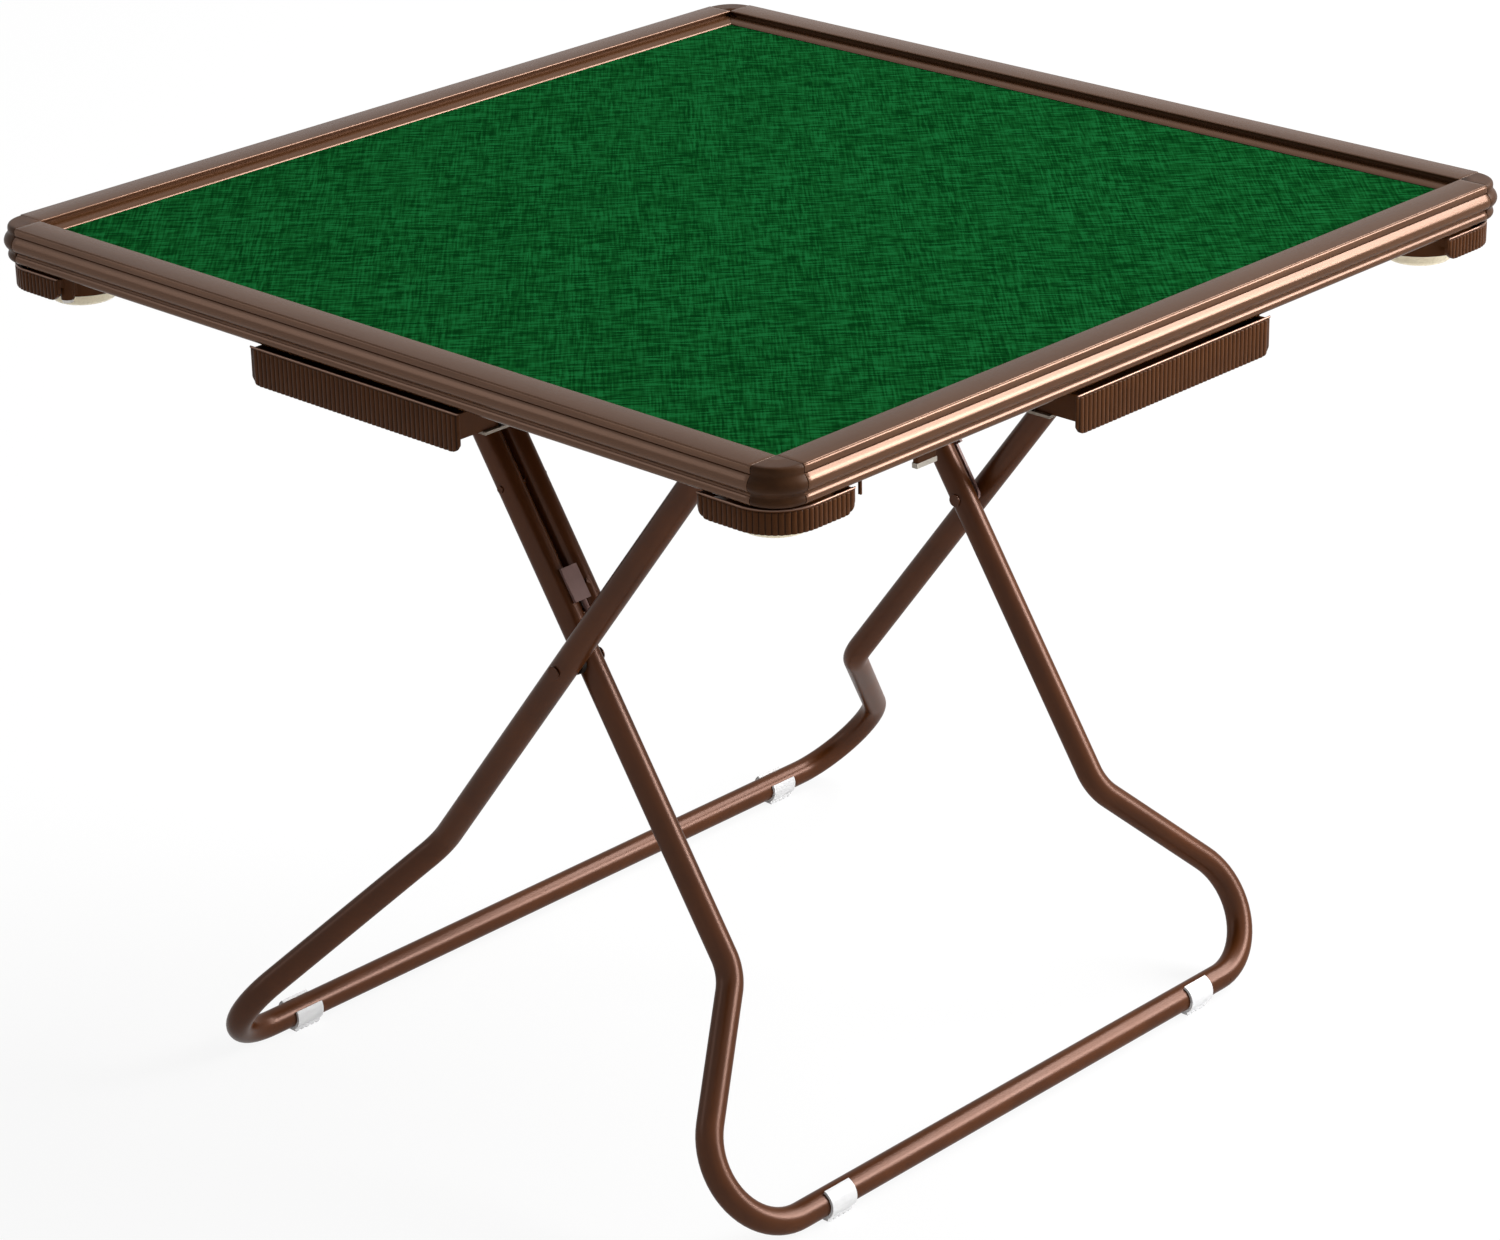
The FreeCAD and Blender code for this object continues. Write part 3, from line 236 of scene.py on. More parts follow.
def blend(wire, share, first, second):  # sockets 6 and 7 of the Mix node are its colours, output 2 their mix
    return wire.node("ShaderNodeMix", {"data_type": "RGBA"}, {0: share, 6: first, 7: second}, output=2)


def relief(wire, height, depth):  # small bumps, their depth in metres
    return wire.node("ShaderNodeBump", inputs={"Height": height, "Distance": depth, "Strength": 1.0})


def edgeShares(wire):  # how far the piece's edge attribute lies above 0, and how far below
    edge = wire.node("ShaderNodeAttribute", {"attribute_name": "edge"}, output="Fac")
    return step(wire, edge, 0.0, 1.0), step(wire, edge, 0.0, -1.0)


# its lightest tone is laid on the lip as wear and a painted highlight, and on the flat top as a painted
# reflection
railLook = {
    "brown": tone(79, 49, 26), "deep": tone(67, 40, 21), "wearAndSheen": tone(140, 104, 80),
    "gleam": (1.0, 0.88, 0.8, 1.0), "metal": (0.28, 0.16, 0.11, 1.0), "dull": (0.05, 0.034, 0.026, 1.0),
    "rim": (0.3, 0.22, 0.16, 1.0), "metalShare": 0.19, "rough": 0.22, "roughSpread": 0.16, "shine": 0.13,
    "lines": (9, 2600, 1), "patches": (5, 40, 1), "lineShare": 0.6, "tintSpan": (0.35, 0.65),
    "lineDepth": 0.00004, "lipWearAndSheen": 0.5, "topSheen": 0.14}


def railFinish():  # a dyed skin with metal seen through it, streaked along the rail; its lip lightened for wear and as a painted highlight, its flat top lightened as a painted reflection
    look = railLook
    made, wire = openFinish("railBronze")
    lines = cloud(wire, place(wire, look["lines"], source="UV"), 3.0)
    broad = cloud(wire, place(wire, look["patches"], source="UV"), 2.0)
    lip, top = edgeShares(wire)
    streaks = lines * look["lineShare"] + broad * (1 - look["lineShare"])
    tint = blend(wire, step(wire, streaks, *look["tintSpan"]), look["deep"], look["brown"])
    # lighter at the lip for wear and as a painted highlight, and on the flat top as a painted reflection
    wearAndSheenShare = lip * step(wire, broad, *mixSpan) * look["lipWearAndSheen"] + top * look["topSheen"]
    tint = blend(wire, wearAndSheenShare, tint, look["wearAndSheen"])
    rough = look["rough"] + (lines - 0.5) * look["roughSpread"]
    bumps = relief(wire, lines, look["lineDepth"])
    skin = layer(wire, {"Base Color": tint, "Roughness": rough, "Normal": bumps,
                        "Specular IOR Level": look["shine"], "Specular Tint": look["gleam"]})
    metal = blend(wire, top, look["metal"], look["dull"])
    bare = layer(wire, {"Base Color": metal, "Roughness": rough, "Normal": bumps, "Metallic": 1.0,
                        "Specular Tint": look["rim"]})
    closeFinish(wire, mixLayers(wire, look["metalShare"], skin, bare))
    return made


capLook = {
    "brown": tone(68, 42, 24), "deep": tone(57, 34, 18), "gleam": (1.0, 0.84, 0.72, 1.0), "rough": 0.4,
    "roughSpread": 0.14, "shine": 0.09, "grain": 1400, "grainDepth": 0.00008, "patches": 60}


def capFinish():  # moulded plastic: broad clouds tint it, fine grain breaks its shine
    look = capLook
    made, wire = openFinish("capPlastic")
    grain = evenCloud(wire, look["grain"], 2.0)
    broad = evenCloud(wire, look["patches"], 3.0)
    tint = blend(wire, step(wire, broad, *mixSpan), look["deep"], look["brown"])
    rough = look["rough"] + (grain - 0.5) * look["roughSpread"]
    closeFinish(wire, layer(wire, {"Base Color": tint, "Roughness": rough,
                                   "Specular IOR Level": look["shine"], "Specular Tint": look["gleam"],
                                   "Normal": relief(wire, grain, look["grainDepth"])}))
    return made


clothLook = {
    "green": tone(11, 68, 27), "deep": tone(4, 47, 16), "light": tone(18, 88, 42), "turn": 45.0,
    "warp": (30, 560, 1), "weft": (420, 55, 1), "groups": (6, 40, 1), "warpRange": 0.7, "warpLeast": 0.1,
    "weftShare": 0.75, "deepSpan": (0.36, 0.51), "lightSpan": (0.5, 0.65), "rough": 0.86, "roughSpread": 0.2,
    "depth": 0.0004}


def clothFinish():  # long and short threads along the top's diagonals; the height of the weave also tints it
    look = clothLook
    made, wire = openFinish("playingCloth")
    turn = (0, 0, math.radians(look["turn"]))
    warp = cloud(wire, place(wire, look["warp"], turn), 1.0)  # long threads
    group = cloud(wire, place(wire, look["groups"], turn), 1.0)  # closer and looser groups of them
    weft = cloud(wire, place(wire, look["weft"], turn), 1.0)  # short threads between them
    warpShare = group * look["warpRange"] + look["warpLeast"]
    raised = (warp - 0.5) * warpShare + (weft - 0.5) * look["weftShare"] + 0.5
    tint = blend(wire, step(wire, raised, *look["deepSpan"]), look["deep"], look["green"])
    tint = blend(wire, step(wire, raised, *look["lightSpan"]), tint, look["light"])
    rough = look["rough"] + (warp - 0.5) * look["roughSpread"]
    closeFinish(wire, layer(wire, {"Base Color": tint, "Roughness": rough, "Specular IOR Level": 0.0,
                                   "Normal": relief(wire, raised, look["depth"])}))
    return made


legLook = {
    "brown": tone(74, 38, 13), "deep": tone(64, 32, 10), "gleam": (1.0, 0.84, 0.76, 1.0),
    "metal": (0.34, 0.21, 0.17, 1.0), "rim": (0.3, 0.22, 0.16, 1.0), "metalShare": 0.08, "rough": 0.3,
    "roughSpread": 0.12, "shine": 0.04, "peel": 700, "peelDepth": 0.00005, "patches": 22}


def legFinish():  # sprayed paint with its orange peel, and metal flakes seen through it
    look = legLook
    made, wire = openFinish("legPaint")
    peel = evenCloud(wire, look["peel"], 2.0)
    broad = evenCloud(wire, look["patches"], 3.0)
    tint = blend(wire, step(wire, broad, *mixSpan), look["deep"], look["brown"])
    rough = look["rough"] + (broad - 0.5) * look["roughSpread"]
    bumps = relief(wire, peel, look["peelDepth"])
    skin = layer(wire, {"Base Color": tint, "Roughness": rough, "Normal": bumps,
                        "Specular IOR Level": look["shine"], "Specular Tint": look["gleam"]})
    flake = layer(wire, {"Base Color": look["metal"], "Roughness": rough, "Normal": bumps, "Metallic": 1.0,
                         "Specular Tint": look["rim"]})
    closeFinish(wire, mixLayers(wire, look["metalShare"], skin, flake))
    return made


# the darkest tone is painted shade in the reed grooves; the lightest tone is a painted highlight on the
# polished top bead
drawerLook = {
    "brown": tone(81, 47, 22), "deep": tone(75, 43, 20), "groove": tone(22, 12, 6),
    "wearAndSheen": tone(140, 112, 98), "rough": 0.34, "roughSpread": 0.16, "shine": 0.06, "grain": 900,
    "grainDepth": 0.00005, "patches": 35, "grooveShade": 0.8, "polishAndSheen": 0.8, "polishSmooth": 0.12,
    "polishMetal": 0.5}


def drawerFinish():  # moulded plastic with painted shade in the grooves, and polish with a painted highlight on the bead
    look = drawerLook
    made, wire = openFinish("drawerPlastic")
    grain = evenCloud(wire, look["grain"], 2.0)
    broad = evenCloud(wire, look["patches"], 3.0)
    groove, wearAndSheen = edgeShares(wire)
    tint = blend(wire, step(wire, broad, *mixSpan), look["deep"], look["brown"])
    # painted shade in the grooves between the reeds
    tint = blend(wire, groove * look["grooveShade"], tint, look["groove"])
    # painted highlight on the polished bead
    tint = blend(wire, wearAndSheen * look["polishAndSheen"], tint, look["wearAndSheen"])
    rough = look["rough"] + (grain - 0.5) * look["roughSpread"] - wearAndSheen * look["polishSmooth"]
    metal = wearAndSheen * look["polishMetal"]
    closeFinish(wire, layer(wire, {"Base Color": tint, "Roughness": rough, "Metallic": metal,
                                   "Specular IOR Level": look["shine"],
                                   "Normal": relief(wire, grain, look["grainDepth"])}))
    return made


plainLook = {"patches": 35, "roughSpread": 0.16}


def plainFinish(name, light, deep, rough, grainSize=900, grainDepth=0.00006, shine=0.12, metal=0.0):
    # two close colours mixed by a broad cloud, fine grain in the roughness and the relief
    made, wire = openFinish(name)
    grain = evenCloud(wire, grainSize, 2.0)
    broad = evenCloud(wire, plainLook["patches"], 3.0)
    tint = blend(wire, step(wire, broad, *mixSpan), deep, light)
    rough = rough + (grain - 0.5) * plainLook["roughSpread"]
    closeFinish(wire, layer(wire, {"Base Color": tint, "Roughness": rough, "Metallic": metal,
                                   "Specular IOR Level": shine, "Normal": relief(wire, grain, grainDepth)}))
    return made


finishes = {
    "rail": railFinish(),
    "cap": capFinish(),
    "cloth": clothFinish(),
    "leg": legFinish(),
    "drawer": drawerFinish(),
    "dish": plainFinish("dishCream", tone(240, 228, 198), tone(232, 218, 186), rough=0.28, grainSize=400,
                        grainDepth=0.00003, shine=0.5),
    "foot": plainFinish("clipWhite", tone(216, 216, 216), tone(208, 208, 209), rough=0.4, shine=0.4),
    "steel": plainFinish("zincSteel", tone(196, 192, 186), tone(170, 167, 162), rough=0.36, grainSize=1600,
                         grainDepth=0.00003, shine=0.5, metal=1.0),
    "dark": plainFinish("darkPlastic", tone(36, 28, 23), tone(28, 21, 17), rough=0.5),
    "pale": plainFinish("paleStrip", tone(168, 156, 142), tone(154, 143, 130), rough=0.45),
    "rubber": plainFinish("paleRubber", tone(210, 202, 190), tone(196, 188, 176), rough=0.7),
    "board": plainFinish("boardPaint", tone(70, 50, 36), tone(58, 40, 28), rough=0.62, grainSize=300,
                         grainDepth=0.0002),
    "lock": plainFinish("lockPaint", tone(134, 104, 98), tone(118, 90, 84), rough=0.34),
}
for entry in frame["record"]["subparts"]:
    for holder in nodes[entry["node"]].material_slots:
        holder.material = finishes[entry["material_slot"]]
print("finishes made:", len(finishes))


# edge rails

# sizes of the pieces are millimetres; a section is drawn outward and up from its inner top edge
railShape = {
    "half": 400.0, "gap": 0.15, "ease": 0.5, "easeRows": (0, 0.13, 0.45, 1.0), "easeFrom": (0.5, -29.5),
    "firm": 4.0, "rubAndSheenAt": (26.0, -1.3), "rubAndSheenSpread": 2.0, "topWithin": 0.02, "uvShift": 1000.0,
    "crease": 24.0}


def outerLine():  # lip, bead and toe of the rail, downward from the outer edge of its flat top
    lip = [arc(24.9, -0.5, 0.5, 90, 10, 4), [[25.35, -0.95]], arc(25.25, -2.05, 1.05, 72, 0, 8),
           arc(25.7, -5.9, 0.6, 0, -60, 4), [[25.2, -6.75]]]
    bead = [arc(18.6, -16.71, 12.0, 55, 28, 12), arc(23.2, -14.27, 6.8, 28, -50, 20)[1:], [[25.6, -21.3]]]
    toe = [arc(23.6, -25.9, 4.1, 56, -90, 15)]
    return np.concatenate([np.asarray(row, float) for row in lip + bead + toe])


def railProfile():  # the whole section, with the share of rubbed edge and painted highlight at each point, below 0 on the flat top, where a painted reflection lightens it
    outer = outerLine()
    groove = [[13.6, -30.0], [13.0, -29.4], [13.0, -23.6], [-10.0, -23.6], [-10.0, -22.0], [11.5, -22.0]]
    apron = [[11.5, -8.2], [-12.2, -8.2], [-12.5, -7.9], [-12.3, -7.4], [-11.6, -6.9], [-9.0, -6.2],
             [-4.0, -5.25], [0.0, -4.8], [2.2, -4.4], [2.2, -2.0], [0.2, -1.6]]
    profile = np.concatenate([outer, groove, apron, arc(0.8, -0.8, 0.8, 200, 90, 6), outer[:1]])
    away = ((profile - railShape["rubAndSheenAt"]) ** 2).sum(axis=1)
    rubAndSheen = np.exp(-away / railShape["rubAndSheenSpread"])  # a bell about the lip: wear and a painted highlight
    return profile, np.where(profile[:, 1] > -railShape["topWithin"], -1.0, rubAndSheen)


def makeRail(side):  # the profile carried along the edge, its inner part mitred and its cut ends eased
    rail, turn = railShape, sides.index(side)
    profile, rubAndSheen = railProfile()
    outside = (profile > rail["easeFrom"]).all(axis=1, keepdims=True)
    inward = -sideNormals(profile) * np.where(outside, 1, 0)
    away = np.append(np.array(rail["easeRows"]) * rail["ease"], rail["firm"])  # firm: long faces stay flat
    sink = roundOff(rail["ease"], away)
    sink = np.concatenate([sink, [0.0], sink[::-1]])
    reach = rail["half"] - rail["gap"] - np.maximum(-profile[:, 0], 0)
    x = np.concatenate([away[:, None] - reach, reach[None] * 0, reach - away[::-1, None]])
    shape = profile[None] + sink[:, None, None] * inward[None]
    grid = np.stack([x, -rail["half"] - shape[..., 0], tableTop + shape[..., 1]], axis=2)
    uv = np.stack([x + rail["uvShift"] * turn, np.broadcast_to(runLength(profile), x.shape)], axis=2)
    return makePiece("edgeRail." + side, quarterTurn([(grid, uv, rubAndSheen[None, :])], turn), finishes["rail"],
                     rail["crease"], True)


for side in sides:
    dress(makeRail(side), "rail_" + side, "table_top")
print("edge rails made")


# corner caps

# fanFrom is in radians; bellHalf, trim and stride count samples of the line
capShape = {
    "centre": railShape["half"], "reach": 29.4, "height": 30.0, "flat": 12.0, "under": 13.0, "seam": 0.8,
    "seamRows": (0, 0.1, 0.25, 0.45, 0.7, 1.0), "fanFrom": 0.06, "fanRows": 25, "step": 0.25, "soften": 1.7,
    "bellHalf": 24, "trim": 40, "stride": 2}


def capProfile():  # the rail's outer line, its grooves softened by a running mean weighted like a bell
    cap, half = capShape, capShape["bellHalf"]
    line = np.concatenate([[[0.0, 0.0], [cap["flat"], 0.0]], outerLine(),
                           [[cap["under"], -cap["height"]], [0.0, -cap["height"]]]])
    run = runLength(line)
    spot = np.arange(0, run[-1], cap["step"])
    dense = np.stack([np.interp(spot, run, line[:, k]) for k in (0, 1)], axis=1)
    bell = np.exp(-0.5 * (np.arange(-half, half + 1) * cap["step"] / cap["soften"]) ** 2)
    wide = np.pad(dense, ((half, half), (0, 0)), mode="reflect", reflect_type="odd")
    soft = np.stack([np.convolve(wide[:, k], bell / bell.sum(), "valid") for k in (0, 1)], axis=1)
    return np.concatenate([line[:1], soft[cap["trim"]:-cap["trim"]:cap["stride"]], line[-1:]])


def makeCap(corner):  # the softened line turned a quarter round the corner, its ends eased by a small round
    cap, quarter = capShape, math.pi / 2
    profile = capProfile()
    inward = -sideNormals(profile) * np.where(profile[:, :1] > 0, 1, 0)
    away = np.array(cap["seamRows"]) * cap["seam"] / cap["reach"]
    fan = np.linspace(cap["fanFrom"], quarter - cap["fanFrom"], cap["fanRows"])
    angle = np.concatenate([away, fan, quarter - away[::-1]])
    sink = roundOff(cap["seam"], np.minimum(angle, quarter - angle) * cap["reach"])
    shape = profile[None] + sink[:, None, None] * inward[None]
    x = cap["centre"] + shape[..., 0] * np.cos(angle)[:, None]
    y = -cap["centre"] - shape[..., 0] * np.sin(angle)[:, None]
    skin = np.stack([x, y, tableTop + shape[..., 1]], axis=2)
    uv = np.stack(np.broadcast_arrays(angle[:, None] * cap["reach"], runLength(profile)[None]), axis=2)
    patches = [(skin, uv, noEdge)]
    for end in (0, -1):  # the flat ends that meet the rails
        axis = skin[end].copy()
        axis[:, :2] = (cap["centre"], -cap["centre"])
        patches.append((np.stack([axis, skin[end]]), np.stack([uv[end], uv[end]]), noEdge))
    return makePiece("cornerCap." + corner, quarterTurn(patches, corners.index(corner)), finishes["cap"])


for corner in corners:
    dress(makeCap(corner), "corner_cap_" + corner, "table_top")
print("corner caps made")


# drawer fronts and corner trays

wallShape = {
    "bulge": 0.8, "ease": 0.8, "easeRows": (0, 0.1, 0.3, 0.6, 1.0), "points": 8, "crownPower": 2.4,
    "grooveWidth": 0.9, "crease": 40.0}


def wallSection(height, thick):
    # a bead on top and a rounded foot: rows of depth behind the reeds, height, share of reed and of polish
    # with its painted highlight
    top = [(0.0, -3.1, 1, 0), (0.15, -2.6, 1, 0), (0.5, -2.3, 1, 0), (0.8, -2.2, 0, 0), (0.8, -1.9, 0, 0),
           (0.25, -1.7, 0, 0), (0.0, -1.2, 0, 0.2), (0.0, -0.7, 0, 0.8), (0.2, -0.25, 0, 1),
           (0.6, 0.0, 0, 1), (1.3, 0.0, 0, 0.2), (1.6, -0.3, 0, 0), (1.6, -1.9, 0, 0), (thick, -1.9, 0, 0)]
    foot = [(thick, 0.3, 0, 0), (thick - 0.3, 0.0, 0, 0), (0.8, 0.0, 1, 0), (0.23, 0.23, 1, 0),
            (0.0, 0.8, 1, 0)]
    rows = [(deep, height + drop, reed, polishAndSheen) for deep, drop, reed, polishAndSheen in top]
    return np.array(rows + foot + rows[:1], float).T


def reeds(length, count, margin):  # places along a wall, how far a reed stands out, and how near a groove is for its painted shade
    wall = wallShape
    turn = np.arange(count * wall["points"] + 1) / wall["points"]
    pitch = (length - 2 * margin) / count
    off = np.abs(2 * (turn % 1) - 1)  # 1 in the groove, 0 on the crown
    end = np.array(wall["easeRows"]) * wall["ease"]
    along = np.concatenate([end, margin + turn * pitch, length - end[::-1]])
    crown = np.concatenate([end * 0, 1 - off ** wall["crownPower"], end * 0])  # round crowns, sharp grooves
    near = np.concatenate([end * 0, np.exp(-((1 - off) * pitch / wall["grooveWidth"]) ** 2), end * 0])
    return along, crown, near


def reededWall(path, outward, reedLine, section, foot, corner):
    # the section carried along a path and sunk between the reeds; lower corners rounded, ends eased
    along, crown, near = reedLine
    deep, high, reed, polishAndSheen = section
    left = np.minimum(along, along[-1] - along)[:, None]
    between = (1 - crown)[:, None] * wallShape["bulge"] * reed
    sunk = deep + between + roundOff(wallShape["ease"], left) * (1 - 2 * deep / deep.max())
    flat = path[:, None] - outward[:, None] * sunk[..., None]
    z = foot + roundOff(corner, left) * (1 - high / high.max()) + high
    girth = runLength(np.stack([deep, high], axis=1))
    uv = np.stack(np.broadcast_arrays(along[:, None], girth[None]), axis=2)
    return np.concatenate([flat, z[..., None]], axis=2), uv, near[:, None] * reed - polishAndSheen


drawerShape = {
    "half": 114.0, "front": -430.0, "foot": 654.5, "height": 31.0, "thick": 3.0, "corner": 9.0, "reeds": 46,
    "margin": 3.0}


def makeDrawerFace(side):  # a straight reeded wall across the front
    drawer = drawerShape
    line = reeds(2 * drawer["half"], drawer["reeds"], drawer["margin"])
    path = np.stack([line[0] - drawer["half"], np.full(line[0].shape, drawer["front"])], axis=1)
    wall = reededWall(path, np.broadcast_to([0.0, -1.0], path.shape), line,
                      wallSection(drawer["height"], drawer["thick"]), drawer["foot"], drawer["corner"])
    return makePiece("drawerFace." + side, quarterTurn([wall], sides.index(side)), finishes["drawer"],
                     wallShape["crease"], True)


trayShape = {
    "start": 349.0, "face": 427.0, "bend": 38.0, "foot": 666.5, "height": 19.0, "thick": 4.0, "corner": 11.0,
    "reeds": 30, "margin": 1.0, "dish": 378.0, "ring": 41.5, "room": 38.5, "seat": 32.3, "floor": 3.0,
    "pin": (415.0, -352.0), "boss": 5.5, "bore": 2.6, "web": 29.0, "webRows": 33, "webInset": 0.1,
    "rib": (0.5, 3.0), "ribDrop": 1.2, "ribRuns": ((2.0, 22.0, False), (2.0, 7.6, True), (16.4, 22.0, True))}


def trayLine(along):  # plan of the tray's wall: straight, a quarter round, straight; and outward headings
    tray, bend = trayShape, trayShape["bend"]
    middle = tray["face"] - bend
    straight = middle - tray["start"]
    arcEnd = straight + bend * math.pi / 2
    turn = np.clip((along - straight) / bend, 0, math.pi / 2)
    outward = np.stack([np.sin(turn), -np.cos(turn)], axis=1)
    runs = np.stack([-np.clip(straight - along, 0, None), np.clip(along - arcEnd, 0, None)], axis=1)
    return np.array([middle, -middle]) + bend * outward + runs, outward


def trayFloor(length):  # a low band along rays from the dish's centre, between the ring and the wall
    tray = trayShape
    spot, outward = trayLine(np.linspace(tray["web"], length - tray["web"], tray["webRows"]))
    far = spot - outward * tray["thick"] / 2
    centre = np.array([tray["dish"], -tray["dish"]])
    ray = (far - centre) / np.linalg.norm(far - centre, axis=1)[:, None]
    near = centre + ray * (tray["ring"] + tray["room"]) / 2
    flat = np.stack([near, far, far, near, near], axis=1)
    low, high = tray["webInset"], tray["floor"] - tray["webInset"]
    z = np.broadcast_to(tray["foot"] + np.array([low, low, high, high, low]), flat.shape[:2])
    return np.concatenate([flat, z[..., None]], axis=2), flat, noEdge


def trayRibs():  # upright boxes from each end of the wall to the ring, broken where the boss stands
    tray = trayShape
    back, front = tray["start"] + np.array(tray["rib"])
    low, top = tray["foot"] + tray["corner"], tray["foot"] + tray["height"] - tray["ribDrop"]
    x, z = np.array([back, front, front, back, back]), np.array([low, low, top, top, low])
    ribs = []
    for start, end, mirrored in tray["ribRuns"]:
        y = np.array([[start], [end]]) - tray["face"]
        rib = np.stack(np.broadcast_arrays(x, y, z), axis=2)
        rib = rib[..., [1, 0, 2]] * (-1, -1, 1) if mirrored else rib
        ribs.append((rib, rib[..., 1:], noEdge))
    return ribs


def makeTray(corner):  # reeded wall, ring round the dish, pivot boss, floor between ring and wall, and ribs
    tray, high, floor = trayShape, trayShape["height"], trayShape["floor"]
    seat, ring, room, boss, bore = (tray[k] for k in ("seat", "ring", "room", "boss", "bore"))
    length = 2 * (tray["face"] - tray["bend"] - tray["start"]) + tray["bend"] * math.pi / 2
    line = reeds(length, tray["reeds"], tray["margin"])
    section = wallSection(high, tray["thick"])
    wall = reededWall(*trayLine(line[0]), line, section, tray["foot"], tray["corner"])
    holder = lathe(tray["dish"], -tray["dish"], tray["foot"],
                   [[seat, 0], [ring, 0], [ring, high], [room, high], [room, floor], [seat, floor],
                    [seat, 0]])
    pivot = lathe(*tray["pin"], tray["foot"], [[bore, 0], [boss, 0], [boss, high], [bore, high], [bore, 0]])
    patches = [wall, holder, pivot, trayFloor(length)] + trayRibs()
    return makePiece("trayHolder." + corner, quarterTurn(patches, corners.index(corner)), finishes["drawer"],
                     wallShape["crease"], True)


for side in sides:
    dress(makeDrawerFace(side), "drawer_face_" + side, "drawer_" + side)
for corner in corners:
    dress(makeTray(corner), "tray_holder_" + corner, "tray_" + corner)
print("drawer fronts and trays made")


# leg frames

# places across and along the leaning legs; lean is in degrees
frameShape = {
    "inner": {"bar": 283.4, "legY": 225.6, "flareY": 389.4, "shoulder": 191.8, "end": 781.4, "lean": -33.12},
    "outer": {"bar": -264.5, "legY": 252.8, "flareY": 455.8, "shoulder": 235.0, "end": 821.0, "lean": 37.21}}
tubeShape = {
    "radius": 11.0, "bore": 9.5, "boreDepth": 30.0, "floor": 14.3, "shoulderBend": 42.0, "cornerBend": 58.0,
    "bendSteps": 24, "ringSteps": 48}
across = np.array([0, 1.0, 0])


def leaningUp(kind):  # the heading of a leg frame's legs
    lean = math.radians(frameShape[kind]["lean"])
    return np.array([math.sin(lean), 0, math.cos(lean)])


def bentLine(points, radii):  # straight runs joined by arcs: places and headings
    points = np.asarray(points, float)
    heading = np.diff(points, axis=0)
    heading /= np.linalg.norm(heading, axis=1)[:, None]
    places, ways = [points[:1]], [heading[:1]]
    for k, radius in enumerate(radii):
        into, out = heading[k], heading[k + 1]
        turn = math.atan2(into[0] * out[1] - into[1] * out[0], into @ out)
        inside = np.array([-into[1], into[0]]) * np.sign(turn)
        angle = np.linspace(0, abs(turn), tubeShape["bendSteps"] + 1)[:, None]
        start = points[k + 1] - into * radius * math.tan(abs(turn) / 2)
        places.append(start + radius * (np.sin(angle) * into + (1 - np.cos(angle)) * inside))
        ways.append(np.cos(angle) * into + np.sin(angle) * inside)
    return np.concatenate(places + [points[-1:]]), np.concatenate(ways + [heading[-1:]])


def openEnds(centre, heading):  # rows added at both ends of a tube's line: the rim, the bore and its floor
    tube, bore = tubeShape, tubeShape["bore"]
    first = centre[:1] + heading[:1] * tube["boreDepth"]
    last = centre[-1:] - heading[-1:] * tube["boreDepth"]
    rows = [first, first, centre[:1], centre, centre[-1:], last, last]
    sizes = [[0.0], [bore], [bore], np.full(len(centre), tube["radius"]), [bore], [bore], [0.0]]
    ways = [np.repeat(heading[:1], 3, axis=0), heading, np.repeat(heading[-1:], 3, axis=0)]
    return np.concatenate(rows), np.concatenate(ways), np.concatenate(sizes)


def makeTube(name, centre, heading, out):  # rings about a line, square to its heading and started from out
    centre, heading, radius = openEnds(centre, heading)
    side = np.cross(heading, out)
    angle = np.linspace(0, 2 * math.pi, tubeShape["ringSteps"] + 1)
    ring = np.cos(angle)[None, :, None] * out + np.sin(angle)[None, :, None] * side[:, None]
    grid = centre[:, None] + radius[:, None, None] * ring
    uv = np.stack(np.broadcast_arrays(runLength(centre)[:, None], angle[None] * radius.max()), axis=2)
    return makePiece(name, [(grid, uv, noEdge)], finishes["leg"])


def makeFrameTube(kind):  # a tube carried along the bent line of one leg frame, in its leaning plane
    tube, shape, up = tubeShape, frameShape[kind], leaningUp(kind)
    line = [(-shape["legY"], shape["end"]), (-shape["legY"], shape["shoulder"]), (-shape["flareY"], 0),
            (shape["flareY"], 0), (shape["legY"], shape["shoulder"]), (shape["legY"], shape["end"])]
    bends = [tube["shoulderBend"], tube["cornerBend"]]
    places, ways = bentLine(line, bends + bends[::-1])
    centre = np.array([shape["bar"], 0, tube["floor"]]) + places[:, :1] * across + places[:, 1:] * up
    heading = ways[:, :1] * across + ways[:, 1:] * up
    return makeTube(kind + "LegTube", centre, heading, np.cross(across, up))


strutShape = {"y": -200.8, "from": 485.9, "to": 781.4}


def makeStrut():  # a straight tube beside the front inner leg
    up = leaningUp("inner")
    origin = np.array([frameShape["inner"]["bar"], strutShape["y"], tubeShape["floor"]])
    centre = origin + np.array([[strutShape["from"]], [strutShape["to"]]]) * up
    return makeTube("strutTube", centre, np.stack([up, up]), across)


dress(makeFrameTube("inner"), "inner_frame_tube", "inner_legs")
dress(makeFrameTube("outer"), "outer_frame_tube", "outer_legs")
dress(makeStrut(), "strut_tube", "inner_legs")
print("leg tubes made")


# dishes

dishShape = {
    "centre": trayShape["dish"], "top": 682.0, "rim": 37.0, "neck": 35.0, "foot": 26.73, "height": 29.0,
    "band": 3.0, "wall": 2.0, "round": 6.0, "rimRound": 1.0, "bandRound": 0.6}


